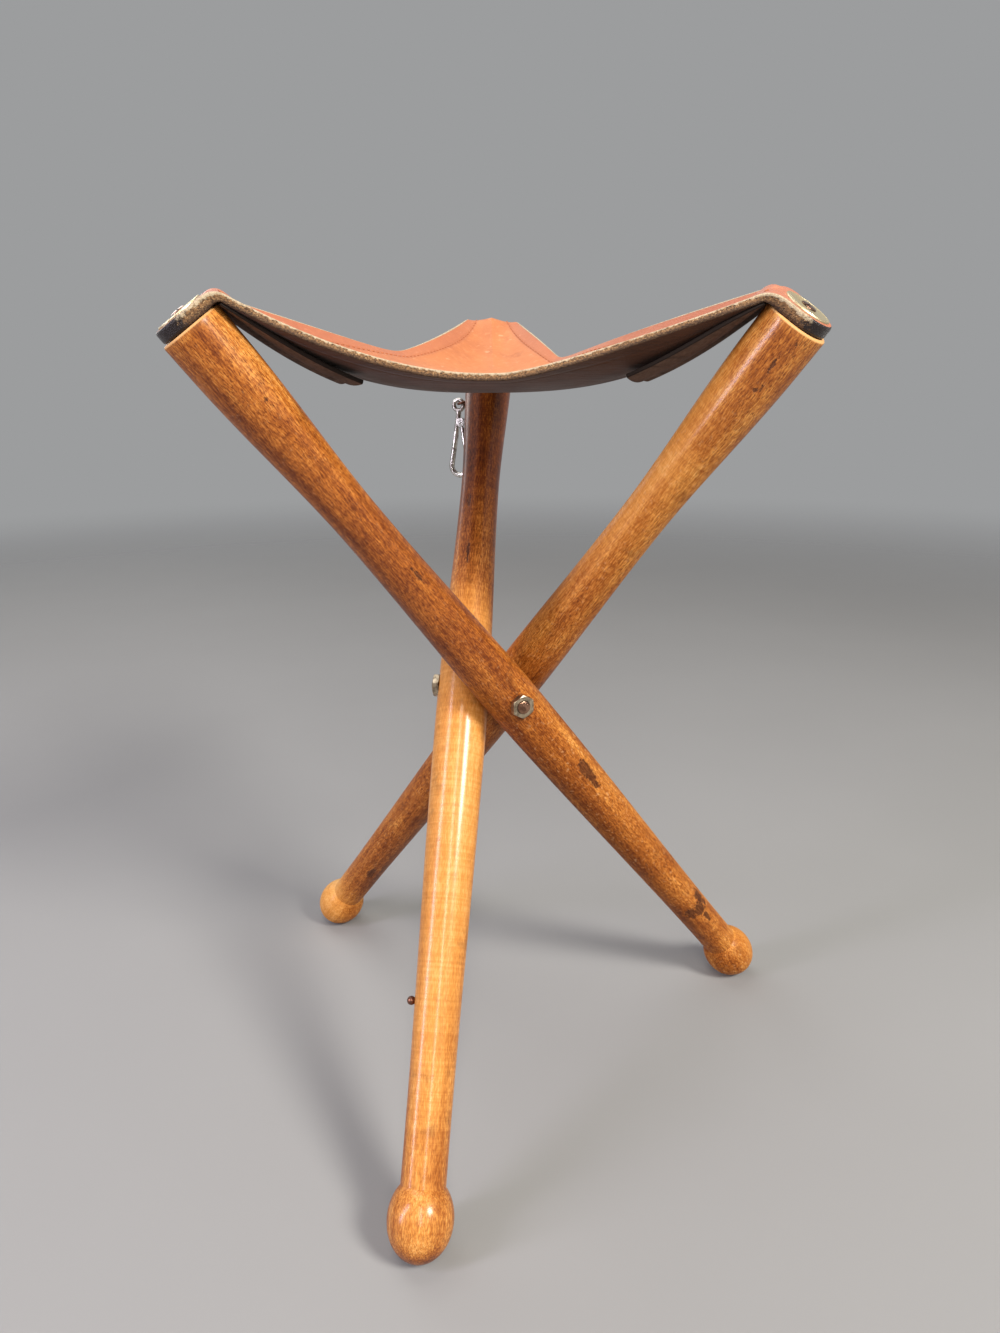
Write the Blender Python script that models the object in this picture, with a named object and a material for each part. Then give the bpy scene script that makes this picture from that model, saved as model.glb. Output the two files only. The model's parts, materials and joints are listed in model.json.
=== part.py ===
"""A folding tripod stool: three turned legs on a three-way bolt, and a leather seat slung between them.

Metres, +Z up. The origin is on the floor, under the middle of the three-way bolt. Each leg has its own
frame on its bolt arm: X runs out along the arm, which the leg turns on, and Z runs up the leg.
"""

import math

import bmesh
import bpy
from mathutils import Euler, Matrix, Vector

# Stance of the open stool
CORNER_HEADINGS = {"left": math.radians(210), "right": math.radians(330), "back": math.radians(90)}
LEG_TILT = math.radians(38.0)
LEG_GAP = 0.0019
GAP = 0.0003

# Facets of small round pieces and of wire
ROUND_SIDES = 16
DISC_SIDES = 24
WIRE_SIDES = 10
RING_STEPS = 20

# Turned leg, measured along it from its pivot
UPPER_LENGTH = 0.270
LOWER_LENGTH = 0.2957
HEAD_RADIUS = 0.01675
HEAD_SWELL_HEIGHT = 0.250
HEAD_CHAMFER = 0.0013
WAIST_RADIUS = 0.01305
WAIST_HEIGHT = 0.145
BELLY_RADIUS = 0.01625
BELLY_HEIGHT = -0.010
ANKLE_RADIUS = 0.01175
FOOT_RADIUS = 0.0190
FOOT_HALF_LENGTH = 0.0223
FOOT_FLAT = 0.0005
LEG_SIDES = 20

# Three-way bolt and its nuts
ARM_RADIUS = 0.004
ARM_PROUD = 0.0011
NUT_WIDTH = 0.013
NUT_HEIGHT = 0.0040
SPOT_RADIUS = 0.0088
SPOT_DEPTH = 0.0012

# Leather seat
LEATHER = 0.0040
PATCH = 0.0022
SEAT_SAG = 0.0479
FRONT_HEM_LIFT = 0.0055
LEFT_HEM_LIFT = 0.0235
RIGHT_HEM_LIFT = 0.0160
HEM_TURN = math.radians(25)
RIDGE_ROUNDING = 0.006
FRONT_SHARPNESS = 5.9
BACK_SHARPNESS = 1.0
CREST_BLEND = 0.0045
CREST_HALF_WIDTH = 0.0175
HEM_MIDDLE = 0.075
TAB_RADIUS = 0.0152
TAB_END_ANGLE = math.radians(76)
PATCH_START = 0.060
PATCH_INSET = 0.0008
WELD = 0.00001
SEAT_COLUMNS = 8

# Discs and screws that hold the seat on the leg ends
DISC_RADIUS = 0.0126
DISC_HEIGHT = 0.0016
DISC_EDGE = 0.0006
SCREW_RADIUS = 0.002
SCREW_DEPTH = 0.026
SCREW_HEAD_RADIUS = 0.0042
SCREW_HEAD_HEIGHT = 0.0018
SLOT_WIDTH = 0.0009
SLOT_DEPTH = 0.0008

# Screw eye, snap hook and stud on the back leg
EYE_DROP = 0.047
EYE_TURN = math.radians(22)
EYE_RADIUS = 0.0034
EYE_WIRE = 0.00095
EYE_SHANK_DEPTH = 0.011
HOOK_RING_RADIUS = 0.00375
HOOK_RING_WIRE = 0.00155
HOOK_WIRE = 0.0020
HOOK_BOW_DROP = 0.0450
HOOK_BOW_RADIUS = 0.0066
HOOK_NOSE_RISE = 0.0055
LUG_RADIUS = 0.0030
LUG_WIDTH = 0.0052
LUG_DROP = 0.0130
LUG_OFFSET = -0.0020
GATE_EYE_RADIUS = 0.0020
GATE_EYE_WIDTH = 0.0020
GATE_WIRE = 0.0015
PIN_RADIUS = 0.0008
PIN_PROUD = 0.0003
STUD_HEIGHT = -0.190
STUD_HEAD_RADIUS = 0.0025
STUD_NECK_RADIUS = 0.0013
STUD_PROUD = 0.0046
STUD_DEPTH = 0.008

# Worked out from the sizes above
SKEW = math.sqrt(math.cos(LEG_TILT) ** 2 + math.sin(LEG_TILT) ** 2 / 4)
ARM_OFFSET = (2 * BELLY_RADIUS + LEG_GAP) * SKEW / (math.sqrt(3) * math.cos(LEG_TILT))
FOOT_REACH = math.hypot(FOOT_HALF_LENGTH * math.cos(LEG_TILT), FOOT_RADIUS * math.sin(LEG_TILT))
HUB_HEIGHT = FOOT_REACH - FOOT_FLAT + LOWER_LENGTH * math.cos(LEG_TILT)
HUB = Vector((0, 0, HUB_HEIGHT))
EYE_HEIGHT = UPPER_LENGTH - EYE_DROP
HEAD_REACH = UPPER_LENGTH * math.sin(LEG_TILT)
CORNER_REACH = math.hypot(HEAD_REACH, ARM_OFFSET)
ARM_TURN = math.pi / 2 - math.atan2(ARM_OFFSET, HEAD_REACH)
NUT_SEAT = ARM_OFFSET + BELLY_RADIUS - SPOT_DEPTH
ARM_LENGTH = NUT_SEAT + GAP + NUT_HEIGHT + ARM_PROUD
SCREW_HOLE = SCREW_RADIUS + GAP
STACK = GAP + PATCH + GAP + LEATHER
UP = Vector((0, 0, 1))


def clear_scene():
    for old in list(bpy.data.objects):
        bpy.data.objects.remove(old, do_unlink=True)


def material(name, colour, roughness, metallic=0.0):
    """A plain finish."""
    finish = bpy.data.materials.new(name)
    finish.use_nodes = True
    shader = finish.node_tree.nodes["Principled BSDF"]
    shader.inputs["Base Color"].default_value = (*colour, 1.0)
    shader.inputs["Roughness"].default_value = roughness
    shader.inputs["Metallic"].default_value = metallic
    return finish


def piece(name, shape, finish=None, smooth_below=35):
    """An object made of a finished bmesh, shaded smooth up to an angle in degrees."""
    mesh = bpy.data.meshes.new(name)
    bmesh.ops.recalc_face_normals(shape, faces=shape.faces)
    shape.to_mesh(mesh)
    shape.free()
    mesh.shade_smooth()
    mesh.set_sharp_from_angle(angle=math.radians(smooth_below))
    made = bpy.data.objects.new(name, mesh)
    bpy.context.scene.collection.objects.link(made)
    if finish:
        mesh.materials.append(finish)
    return made


def helper(name, shape):
    """A cutter, or a body that another object takes in: seen as a wire and left out of the render."""
    made = piece(name, shape)
    made.hide_render = True
    made.display_type = "WIRE"
    return made


def combine(target, other, operation="DIFFERENCE"):
    step = target.modifiers.new(f"{operation.lower()} {other.name}", "BOOLEAN")
    step.operation = operation
    step.solver = "EXACT"
    step.object = other


def world_of(thing):
    """Where an object stands, through its parents."""
    if thing.parent:
        return world_of(thing.parent) @ thing.matrix_basis
    return thing.matrix_basis.copy()


def hang(thing, parent, world):
    """Parents an object and puts it at a place given in the stool's frame."""
    thing.parent = parent
    thing.matrix_basis = world_of(parent).inverted() @ world
    return thing


def frame_on(origin, x_axis, z_axis):
    """A matrix at a point from its X axis and a rough Z axis."""
    x = x_axis.normalized()
    y = z_axis.cross(x).normalized()
    turn = Matrix((x, y, x.cross(y))).transposed()
    return Matrix.Translation(origin) @ turn.to_4x4()


def turned(outline, sides):
    """A solid turned about Z. The outline is (radius, height) from the top down, and both ends are on the axis."""
    shape = bmesh.new()
    top = shape.verts.new((0, 0, outline[0][1]))
    bottom = shape.verts.new((0, 0, outline[-1][1]))
    rings = []
    for radius, height in outline[1:-1]:
        ring = []
        for side in range(sides):
            angle = 2 * math.pi * side / sides
            ring.append(shape.verts.new((radius * math.cos(angle), radius * math.sin(angle), height)))
        rings.append(ring)
    for side in range(sides):
        after = (side + 1) % sides
        shape.faces.new((top, rings[0][side], rings[0][after]))
        shape.faces.new((bottom, rings[-1][after], rings[-1][side]))
        for upper, lower in zip(rings, rings[1:]):
            shape.faces.new((upper[side], lower[side], lower[after], upper[after]))
    return shape


def domed(radius, top, height):
    """The outline of a rounded end, from its middle down to its rim."""
    steps = 3
    angles = [math.pi / 2 * step / steps for step in range(steps + 1)]
    return [(radius * math.sin(angle), top - height * (1 - math.cos(angle))) for angle in angles]


def rod(radius, low, high, sides=ROUND_SIDES):
    """A plain cylinder on Z."""
    return turned([(0, high), (radius, high), (radius, low), (0, low)], sides)


def swept(points, radii, sides, closed=False):
    """A round bar along points that lie in the XZ plane."""
    shape = bmesh.new()
    count = len(points)
    rings = []
    for index, point in enumerate(points):
        before = points[index - 1] if closed or index else point
        after = points[(index + 1) % count] if closed or index + 1 < count else point
        along = (after - before).normalized()
        across = Vector((0, 1, 0)).cross(along)
        ring = []
        for side in range(sides):
            angle = 2 * math.pi * side / sides
            offset = across * math.cos(angle) + Vector((0, 1, 0)) * math.sin(angle)
            ring.append(shape.verts.new(point + offset * radii[index]))
        rings.append(ring)
    pairs = list(zip(rings, rings[1:]))
    if closed:
        pairs.append((rings[-1], rings[0]))
    else:
        shape.faces.new(rings[0])
        shape.faces.new(rings[-1])
    for first, second in pairs:
        for side in range(sides):
            after = (side + 1) % sides
            shape.faces.new((first[side], second[side], second[after], first[after]))
    return shape


def block(low, high):
    """A box between two corners."""
    shape = bmesh.new()
    size = Vector(high) - Vector(low)
    middle = (Vector(high) + Vector(low)) / 2
    bmesh.ops.create_cube(shape, size=1, matrix=Matrix.Translation(middle) @ Matrix.Diagonal((*size, 1)))
    return shape


def ease(share):
    """A smooth step from 0 to 1."""
    return share * share * (3 - 2 * share)


class Leg:
    """The place of one leg: its arm, its pivot and its own frame."""

    def __init__(self, side):
        self.side = side
        self.heading = CORNER_HEADINGS[side]
        arm_heading = self.heading + ARM_TURN
        self.arm = Vector((math.cos(arm_heading), math.sin(arm_heading), 0))
        self.lean = Vector((math.sin(arm_heading), -math.cos(arm_heading), 0))
        self.axis = self.lean * math.sin(LEG_TILT) + UP * math.cos(LEG_TILT)
        self.pivot = HUB + self.arm * ARM_OFFSET
        turn = Euler((LEG_TILT, 0, arm_heading)).to_matrix().to_4x4()
        self.place = Matrix.Translation(self.pivot) @ turn
        self.empty = bpy.data.objects.new(f"pivot_{side}", None)
        bpy.context.scene.collection.objects.link(self.empty)
        self.empty.matrix_basis = self.place

    def at(self, height):
        return self.pivot + self.axis * height


def ankle_height():
    """Where the leg's taper meets its ball foot."""
    return FOOT_HALF_LENGTH * math.sqrt(1 - (ANKLE_RADIUS / FOOT_RADIUS) ** 2) - LOWER_LENGTH


def leg_radius(height):
    """The turned outline between the ankle and the head."""
    stations = (
        (ankle_height(), ANKLE_RADIUS),
        (BELLY_HEIGHT, BELLY_RADIUS),
        (WAIST_HEIGHT, WAIST_RADIUS),
        (HEAD_SWELL_HEIGHT, HEAD_RADIUS),
    )
    for (low, thin), (high, thick) in zip(stations, stations[1:]):
        if height <= high:
            return thin + (thick - thin) * ease((height - low) / (high - low))
    return HEAD_RADIUS


def leg_outline():
    """Radius and height down the whole leg: chamfered head, swells and waist, then the ball foot."""
    outline = [(0, UPPER_LENGTH), (HEAD_RADIUS - HEAD_CHAMFER, UPPER_LENGTH)]
    outline.append((HEAD_RADIUS, UPPER_LENGTH - HEAD_CHAMFER))
    for top, bottom, steps in (
        (HEAD_SWELL_HEIGHT, WAIST_HEIGHT, 6),
        (WAIST_HEIGHT, BELLY_HEIGHT, 6),
        (BELLY_HEIGHT, ankle_height(), 7),
    ):
        for step in range(steps):
            height = top + (bottom - top) * step / steps
            outline.append((leg_radius(height), height))
    start = math.asin((ankle_height() + LOWER_LENGTH) / FOOT_HALF_LENGTH)
    foot_steps = 9
    for step in range(foot_steps):
        angle = start - (start + math.pi / 2) * step / foot_steps
        height = FOOT_HALF_LENGTH * math.sin(angle) - LOWER_LENGTH
        outline.append((FOOT_RADIUS * math.cos(angle), height))
    outline.append((0, -LOWER_LENGTH - FOOT_HALF_LENGTH))
    return outline


def make_leg(leg, floor, screw_hole, finish):
    """A leg with its cross bore, the spot face under its nut, its screw hole and its worn flat foot."""
    body = hang(piece(f"leg_{leg.side}", turned(leg_outline(), LEG_SIDES), finish), leg.empty, leg.place)
    reach = BELLY_RADIUS * 2
    along_arm = leg.place @ Matrix.Rotation(math.pi / 2, 4, "Y")
    bore = helper(f"arm_bore_{leg.side}", rod(ARM_RADIUS + GAP, -reach, reach))
    spot = helper(f"spot_face_{leg.side}", rod(SPOT_RADIUS, BELLY_RADIUS - SPOT_DEPTH, reach))
    for cutter in (bore, spot):
        hang(cutter, leg.empty, along_arm)
        combine(body, cutter)
    combine(body, screw_hole)
    combine(body, floor)
    return body


def make_bolt(legs, finish):
    """Three round arms with domed ends, grown out of one round middle."""
    boss = max(ARM_OFFSET - BELLY_RADIUS - GAP, ARM_RADIUS)
    ball = []
    ball_steps = 8
    for step in range(ball_steps + 1):
        angle = math.pi / 2 - math.pi * step / ball_steps
        ball.append((boss * math.cos(angle), boss * math.sin(angle)))
    bolt = piece("three_way_bolt", turned(ball, ROUND_SIDES), finish)
    bolt.matrix_basis = Matrix.Translation(HUB)
    for leg in legs:
        outline = domed(ARM_RADIUS, ARM_LENGTH, ARM_PROUD / 2) + [(ARM_RADIUS, 0), (0, 0)]
        arm = helper(f"bolt_arm_{leg.side}", turned(outline, ROUND_SIDES))
        arm.matrix_basis = frame_on(HUB, UP, leg.arm)
        combine(bolt, arm, "UNION")
    return bolt


def make_nut(leg, finish):
    """A hexagon nut, its corners turned off at both ends, on the end of a bolt arm."""
    corner = NUT_WIDTH / math.sqrt(3)
    bevel = corner - NUT_WIDTH / 2
    prism = rod(corner, 0, NUT_HEIGHT, sides=6)
    nut = piece(f"pivot_nut_{leg.side}", prism, finish, smooth_below=20)
    nut.matrix_basis = frame_on(HUB + leg.arm * (NUT_SEAT + GAP), UP, leg.arm)
    rounding = [(0, NUT_HEIGHT), (corner - bevel, NUT_HEIGHT), (corner, NUT_HEIGHT - bevel / 2)]
    rounding += [(corner, bevel / 2), (corner - bevel, 0), (0, 0)]
    lathe = helper(f"nut_turning_{leg.side}", turned(rounding, DISC_SIDES))
    bore = helper(f"nut_bore_{leg.side}", rod(ARM_RADIUS + GAP, -NUT_HEIGHT, 2 * NUT_HEIGHT))
    for cutter, operation in ((lathe, "INTERSECT"), (bore, "DIFFERENCE")):
        cutter.matrix_basis = nut.matrix_basis
        combine(nut, cutter, operation)
    return nut


# For each corner: how far the hems at its left and right rise above the dish, and how sharp its ridge is.
SEAT_THIRDS = {
    "left": ((FRONT_HEM_LIFT, LEFT_HEM_LIFT), FRONT_SHARPNESS),
    "right": ((RIGHT_HEM_LIFT, FRONT_HEM_LIFT), FRONT_SHARPNESS),
    "back": ((LEFT_HEM_LIFT, RIGHT_HEM_LIFT), BACK_SHARPNESS),
}


class Seat:
    """The seat's top face. A point is given on one corner's third of it: out towards the corner, and to the side."""

    def __init__(self, leg):
        self.leg = leg
        self.lifts, self.sharpness = SEAT_THIRDS[leg.side]
        self.out = Vector((math.cos(leg.heading), math.sin(leg.heading), 0))
        self.side = UP.cross(self.out)
        self.tab_middle = leg.at(UPPER_LENGTH + STACK)
        self.tab_out = self.tab_middle.dot(self.out)
        inner_rim = HEAD_RADIUS * math.cos(LEG_TILT)
        self.crest_out = CORNER_REACH - inner_rim
        self.crest = leg.at(UPPER_LENGTH).z + HEAD_RADIUS * math.sin(LEG_TILT) + STACK / math.cos(LEG_TILT)
        self.middle = self.crest - SEAT_SAG
        run = math.hypot(self.crest_out, RIDGE_ROUNDING) - RIDGE_ROUNDING
        self.slope = SEAT_SAG / run
        third = math.radians(60)
        self.hem_end = self.crest_out * math.sin(third) - CREST_HALF_WIDTH * math.cos(third)
        hem_depth = self.crest_out * math.cos(third) + CREST_HALF_WIDTH * math.sin(third)
        self.hem_bend = (hem_depth - HEM_MIDDLE) / self.hem_end ** 2

    def height(self, out, side):
        """Three ridges fall from the corners to a shallow dish, the hems sag between them, and the tab is flat."""
        reach = math.hypot(out, side)
        turn = math.atan2(side, out)
        ridge = self.slope * (math.hypot(reach, RIDGE_ROUNDING) - RIDGE_ROUNDING)
        hem_share = ease(min(max(0.5 + turn / (2 * HEM_TURN), 0), 1))
        lift = self.lifts[1] + (self.lifts[0] - self.lifts[1]) * hem_share
        valley = lift * ease(min(reach / HEM_MIDDLE, 1))
        sharpness = 1 + self.sharpness * (reach / self.crest_out) ** 3
        share = ((1 + math.cos(3 * turn)) / 2) ** sharpness
        sling = self.middle + valley + (ridge - valley) * share
        from_tab = self.out * out + self.side * side - self.tab_middle
        tab = self.tab_middle.z - math.tan(LEG_TILT) * from_tab.dot(self.leg.lean)
        apart = abs(sling - tab)
        rounding = max(CREST_BLEND - apart, 0) ** 2 / (4 * CREST_BLEND)
        return min(sling, tab) - rounding

    def half_width(self, out):
        """From the middle to the hem: the line between two thirds, then the curved hem, then the round tab."""
        third = math.radians(60)
        start = HEM_MIDDLE * math.cos(third)
        if out <= start:
            return out * math.tan(third)
        if out <= self.crest_out:
            bend = self.hem_bend
            sine = math.sin(third)
            along = (math.sqrt(sine ** 2 + 2 * bend * (out - start)) - sine) / bend
            return (HEM_MIDDLE + bend * along ** 2) * sine - along * math.cos(third)
        if out <= self.tab_out:
            share = (out - self.crest_out) / (self.tab_out - self.crest_out)
            return CREST_HALF_WIDTH + (TAB_RADIUS - CREST_HALF_WIDTH) * ease(share)
        beyond = (out - self.tab_out) / (TAB_RADIUS * math.cos(LEG_TILT))
        return TAB_RADIUS * math.sqrt(max(1 - beyond ** 2, 0))

    def rows(self, start):
        """Distances out from the middle, close together over the crest and round the tab."""
        hem = HEM_MIDDLE / 2
        band = 2 * CREST_BLEND
        over_crest = self.crest_out - band
        stretches = ((0, hem, 3), (hem, over_crest, 6), (over_crest, self.tab_out, 8))
        found = []
        for low, high, steps in stretches:
            found += [low + (high - low) * step / steps for step in range(steps)]
        found = [start] + [out for out in found if out > start + GAP]
        arc_steps = 4
        for step in range(arc_steps + 1):
            angle = TAB_END_ANGLE * step / arc_steps
            found.append(self.tab_out + TAB_RADIUS * math.cos(LEG_TILT) * math.sin(angle))
        return found

    def point(self, out, side, depth):
        """A point at a depth under the top face, square to it."""
        step = 1e-5
        fall_out = (self.height(out + step, side) - self.height(out - step, side)) / (2 * step)
        fall_side = (self.height(out, side + step) - self.height(out, side - step)) / (2 * step)
        normal = (UP - self.out * fall_out - self.side * fall_side).normalized()
        return self.out * out + self.side * side + UP * self.height(out, side) - normal * depth

    def add_ply(self, shape, start, inset, upper, lower, open_edge):
        """Adds a ply of leather on this third. An open edge has no wall, where the next third joins on."""
        hem = HEM_MIDDLE / 2
        layers = []
        rows = self.rows(start)
        for depth in (upper, lower):
            grid = []
            for out in rows:
                width = max(self.half_width(out) - inset, 0)
                sides = [width * (2 * column / SEAT_COLUMNS - 1) for column in range(SEAT_COLUMNS + 1)]
                grid.append([shape.verts.new(self.point(out, side, depth)) for side in sides])
            layers.append(grid)
        top, bottom = layers
        for row in range(len(rows) - 1):
            for column in range(SEAT_COLUMNS):
                corners = ((row, column), (row + 1, column), (row + 1, column + 1), (row, column + 1))
                for grid in layers:
                    shape.faces.new([grid[r][c] for r, c in corners])
            if open_edge and rows[row] < hem:
                continue
            for column in (0, SEAT_COLUMNS):
                wall = (top[row][column], top[row + 1][column], bottom[row + 1][column], bottom[row][column])
                shape.faces.new(wall)
        for row in (0, -1):
            if open_edge and row == 0:
                continue
            for column in range(SEAT_COLUMNS):
                wall = (top[row][column], top[row][column + 1], bottom[row][column + 1], bottom[row][column])
                shape.faces.new(wall)


def make_seat(seats, screw_holes, finish):
    """The one-piece leather seat: three thirds welded together along the lines from its middle to its hems."""
    shape = bmesh.new()
    for seat in seats:
        seat.add_ply(shape, 0, 0, 0, LEATHER, open_edge=True)
    bmesh.ops.remove_doubles(shape, verts=shape.verts, dist=WELD)
    panel = piece("seat_panel", shape, finish)
    for hole in screw_holes:
        combine(panel, hole)
    return panel


def make_patch(seat, screw_hole, finish):
    """The second ply under one corner. Its origin is on the crest, where it bends over the leg end."""
    shape = bmesh.new()
    depth = LEATHER + GAP
    seat.add_ply(shape, PATCH_START, PATCH_INSET, depth, depth + PATCH, open_edge=False)
    crest = seat.point(seat.crest_out, 0, 0)
    bmesh.ops.translate(shape, verts=shape.verts, vec=-crest)
    ply = piece(f"corner_patch_{seat.leg.side}", shape, finish)
    hang(ply, seat.leg.empty, Matrix.Translation(crest))
    combine(ply, screw_hole)
    return ply


def make_fastening(leg, screw_hole, disc_finish, screw_finish):
    """The disc that clamps a tab on the leg end, and its slotted screw."""
    low = UPPER_LENGTH + STACK + GAP
    high = low + DISC_HEIGHT
    outline = [(0, high), (DISC_RADIUS - DISC_EDGE, high), (DISC_RADIUS, high - DISC_EDGE)]
    outline += [(DISC_RADIUS, low + DISC_EDGE), (DISC_RADIUS - DISC_EDGE, low), (0, low)]
    disc = hang(piece(f"corner_disc_{leg.side}", turned(outline, DISC_SIDES), disc_finish), leg.empty, leg.place)
    combine(disc, screw_hole)
    seat = high + GAP
    top = seat + SCREW_HEAD_HEIGHT
    tip = UPPER_LENGTH - SCREW_DEPTH
    outline = domed(SCREW_HEAD_RADIUS, top, SCREW_HEAD_HEIGHT)
    outline += [(SCREW_RADIUS, seat), (SCREW_RADIUS, tip + 2 * SCREW_RADIUS), (0, tip)]
    screw = hang(piece(f"corner_screw_{leg.side}", turned(outline, ROUND_SIDES), screw_finish), leg.empty, leg.place)
    reach = 2 * SCREW_HEAD_RADIUS
    corner = Vector((reach, SLOT_WIDTH / 2, SCREW_HEAD_HEIGHT))
    slot = helper(f"screw_slot_{leg.side}", block((-corner.x, -corner.y, -SLOT_DEPTH), corner))
    hang(slot, leg.empty, leg.place @ Matrix.Translation((0, 0, top)))
    combine(screw, slot)


def ring_points(radius, drop):
    """Points of a circle in the XZ plane, its middle at a drop under the origin."""
    found = []
    for index in range(RING_STEPS):
        angle = 2 * math.pi * index / RING_STEPS
        found.append(Vector((radius * math.cos(angle), 0, radius * math.sin(angle) - drop)))
    return found


def cross_rod(name, radius, width, out, drop, owner):
    """A helper rod across the hook's plane."""
    made = helper(name, rod(radius, -width / 2, width / 2))
    spot = Matrix.Translation((out, 0, -drop)) @ Matrix.Rotation(math.pi / 2, 4, "X")
    return hang(made, owner, world_of(owner) @ spot)


def make_eye(leg, finish):
    """The screw eye: a ring whose shank runs into the leg. Gives the frame that the hook hangs and swings in."""
    down_back = leg.lean * math.cos(LEG_TILT) - UP * math.sin(LEG_TILT)
    way = leg.arm * math.cos(EYE_TURN) + down_back * math.sin(EYE_TURN)
    through = (leg.lean - way * leg.lean.dot(way)).normalized()
    surface = leg_radius(EYE_HEIGHT)
    stand_off = EYE_RADIUS + EYE_WIRE + GAP
    middle = leg.at(EYE_HEIGHT) + way * (surface + stand_off)
    place = frame_on(middle, way, through)
    ring = swept(ring_points(EYE_RADIUS, 0), [EYE_WIRE] * RING_STEPS, WIRE_SIDES, closed=True)
    eye = hang(piece("strap_screw_eye", ring, finish), leg.empty, place)
    inner_end = -stand_off - EYE_SHANK_DEPTH
    shank = helper("eye_shank", rod(EYE_WIRE, inner_end, -EYE_RADIUS))
    socket = helper("eye_socket", rod(EYE_WIRE + GAP, inner_end - GAP, 0))
    for part in (shank, socket):
        hang(part, leg.empty, place @ Matrix.Rotation(math.pi / 2, 4, "Y"))
    combine(eye, shank, "UNION")
    level = Vector((through.x, through.y, 0)).normalized()
    swing = frame_on(middle + way * EYE_RADIUS, UP.cross(level), UP)
    return socket, swing


def hook_route():
    """The middle line of the hook's bar: neck, straight spine, round bow and the nose that the gate shuts on."""
    lean = math.radians(8)
    start = Vector((0, 0, -ring_drop() - HOOK_RING_RADIUS))
    neck = Vector((HOOK_WIRE / 4, 0, -LUG_DROP + LUG_RADIUS))
    route = [start, neck]
    arc_steps = 14
    for step in range(arc_steps + 1):
        angle = lean - (math.pi + 2 * lean) * step / arc_steps
        bow = Vector((math.cos(angle), 0, math.sin(angle))) * HOOK_BOW_RADIUS
        route.append(bow - UP * HOOK_BOW_DROP)
    route.append(route[-1] + Vector((math.sin(lean), 0, math.cos(lean))) * HOOK_NOSE_RISE)
    return route


def ring_drop():
    """How far the hook's ring hangs under the wire of the eye."""
    return HOOK_RING_RADIUS - HOOK_RING_WIRE - EYE_WIRE - GAP


def make_hook(swing_empty, finish):
    """The snap hook's body: ring, forked neck, spine and bow in one."""
    place = world_of(swing_empty)
    ring_wire = [HOOK_RING_WIRE] * RING_STEPS
    ring = swept(ring_points(HOOK_RING_RADIUS, ring_drop()), ring_wire, WIRE_SIDES, closed=True)
    hook = hang(piece("snap_hook", ring, finish), swing_empty, place)
    route = hook_route()
    bar = hang(helper("hook_bar", swept(route, [HOOK_WIRE] * len(route), WIRE_SIDES)), swing_empty, place)
    lug = cross_rod("hook_lug", LUG_RADIUS, LUG_WIDTH, LUG_OFFSET, LUG_DROP, swing_empty)
    slot_half = GATE_EYE_WIDTH / 2 + GAP
    room = GATE_EYE_RADIUS + GAP
    slot_low = (LUG_OFFSET - 2 * LUG_RADIUS, -slot_half, -LUG_DROP - 2 * LUG_RADIUS)
    slot_high = (LUG_OFFSET + room, slot_half, -LUG_DROP + room)
    slot = hang(helper("gate_slot", block(slot_low, slot_high)), swing_empty, place)
    bore = cross_rod("pin_bore", PIN_RADIUS + GAP, 2 * LUG_WIDTH, LUG_OFFSET, LUG_DROP, swing_empty)
    for part, operation in ((bar, "UNION"), (lug, "UNION"), (slot, "DIFFERENCE"), (bore, "DIFFERENCE")):
        combine(hook, part, operation)
    return hook


def make_gate(swing_empty, finish):
    """The sprung gate, a bar with a thin eye in the hook's fork, and the rivet that it turns on."""
    pivot = Vector((LUG_OFFSET, 0, -LUG_DROP))
    turn = bpy.data.objects.new("gate_turn", None)
    bpy.context.scene.collection.objects.link(turn)
    hang(turn, swing_empty, world_of(swing_empty) @ Matrix.Translation(pivot))
    nose = hook_route()[-1]
    way = nose - pivot
    length = way.length - 3 * GAP
    way.normalize()
    thin = GATE_EYE_WIDTH / 2 - GAP / 4
    clear = LUG_RADIUS + GAP
    stations = ((0, thin), (clear, thin), (clear + GATE_WIRE, GATE_WIRE), (length, GATE_WIRE))
    bar = swept([way * along for along, _ in stations], [radius for _, radius in stations], WIRE_SIDES)
    gate = hang(piece("hook_gate", bar, finish), turn, world_of(turn))
    eye = cross_rod("gate_eye", GATE_EYE_RADIUS, GATE_EYE_WIDTH, 0, 0, turn)
    bore = cross_rod("gate_bore", PIN_RADIUS + GAP, 2 * LUG_WIDTH, 0, 0, turn)
    combine(gate, eye, "UNION")
    combine(gate, bore)
    half = LUG_WIDTH / 2 + PIN_PROUD
    pin = piece("gate_pin", rod(PIN_RADIUS, -half, half), finish)
    hang(pin, swing_empty, world_of(turn) @ Matrix.Rotation(math.pi / 2, 4, "X"))


def make_stud(leg, finish):
    """The strap stud: a round head on a short neck, with its shank in the leg. Gives its socket."""
    surface = leg_radius(STUD_HEIGHT)
    top = surface + STUD_PROUD
    middle = top - STUD_HEAD_RADIUS
    outline = []
    neck_angle = -math.acos(STUD_NECK_RADIUS / STUD_HEAD_RADIUS)
    steps = 6
    for step in range(steps + 1):
        angle = math.pi / 2 + (neck_angle - math.pi / 2) * step / steps
        outline.append((STUD_HEAD_RADIUS * math.cos(angle), middle + STUD_HEAD_RADIUS * math.sin(angle)))
    outline[0] = (0, top)
    outline += [(STUD_NECK_RADIUS, surface - STUD_DEPTH), (0, surface - STUD_DEPTH)]
    place = leg.place @ Matrix.Translation((0, 0, STUD_HEIGHT)) @ Matrix.Rotation(math.pi / 2, 4, "Y")
    hang(piece("strap_stud", turned(outline, ROUND_SIDES), finish), leg.empty, place)
    socket = helper("stud_socket", rod(STUD_NECK_RADIUS + GAP, surface - STUD_DEPTH - GAP, top))
    return hang(socket, leg.empty, place)


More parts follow.
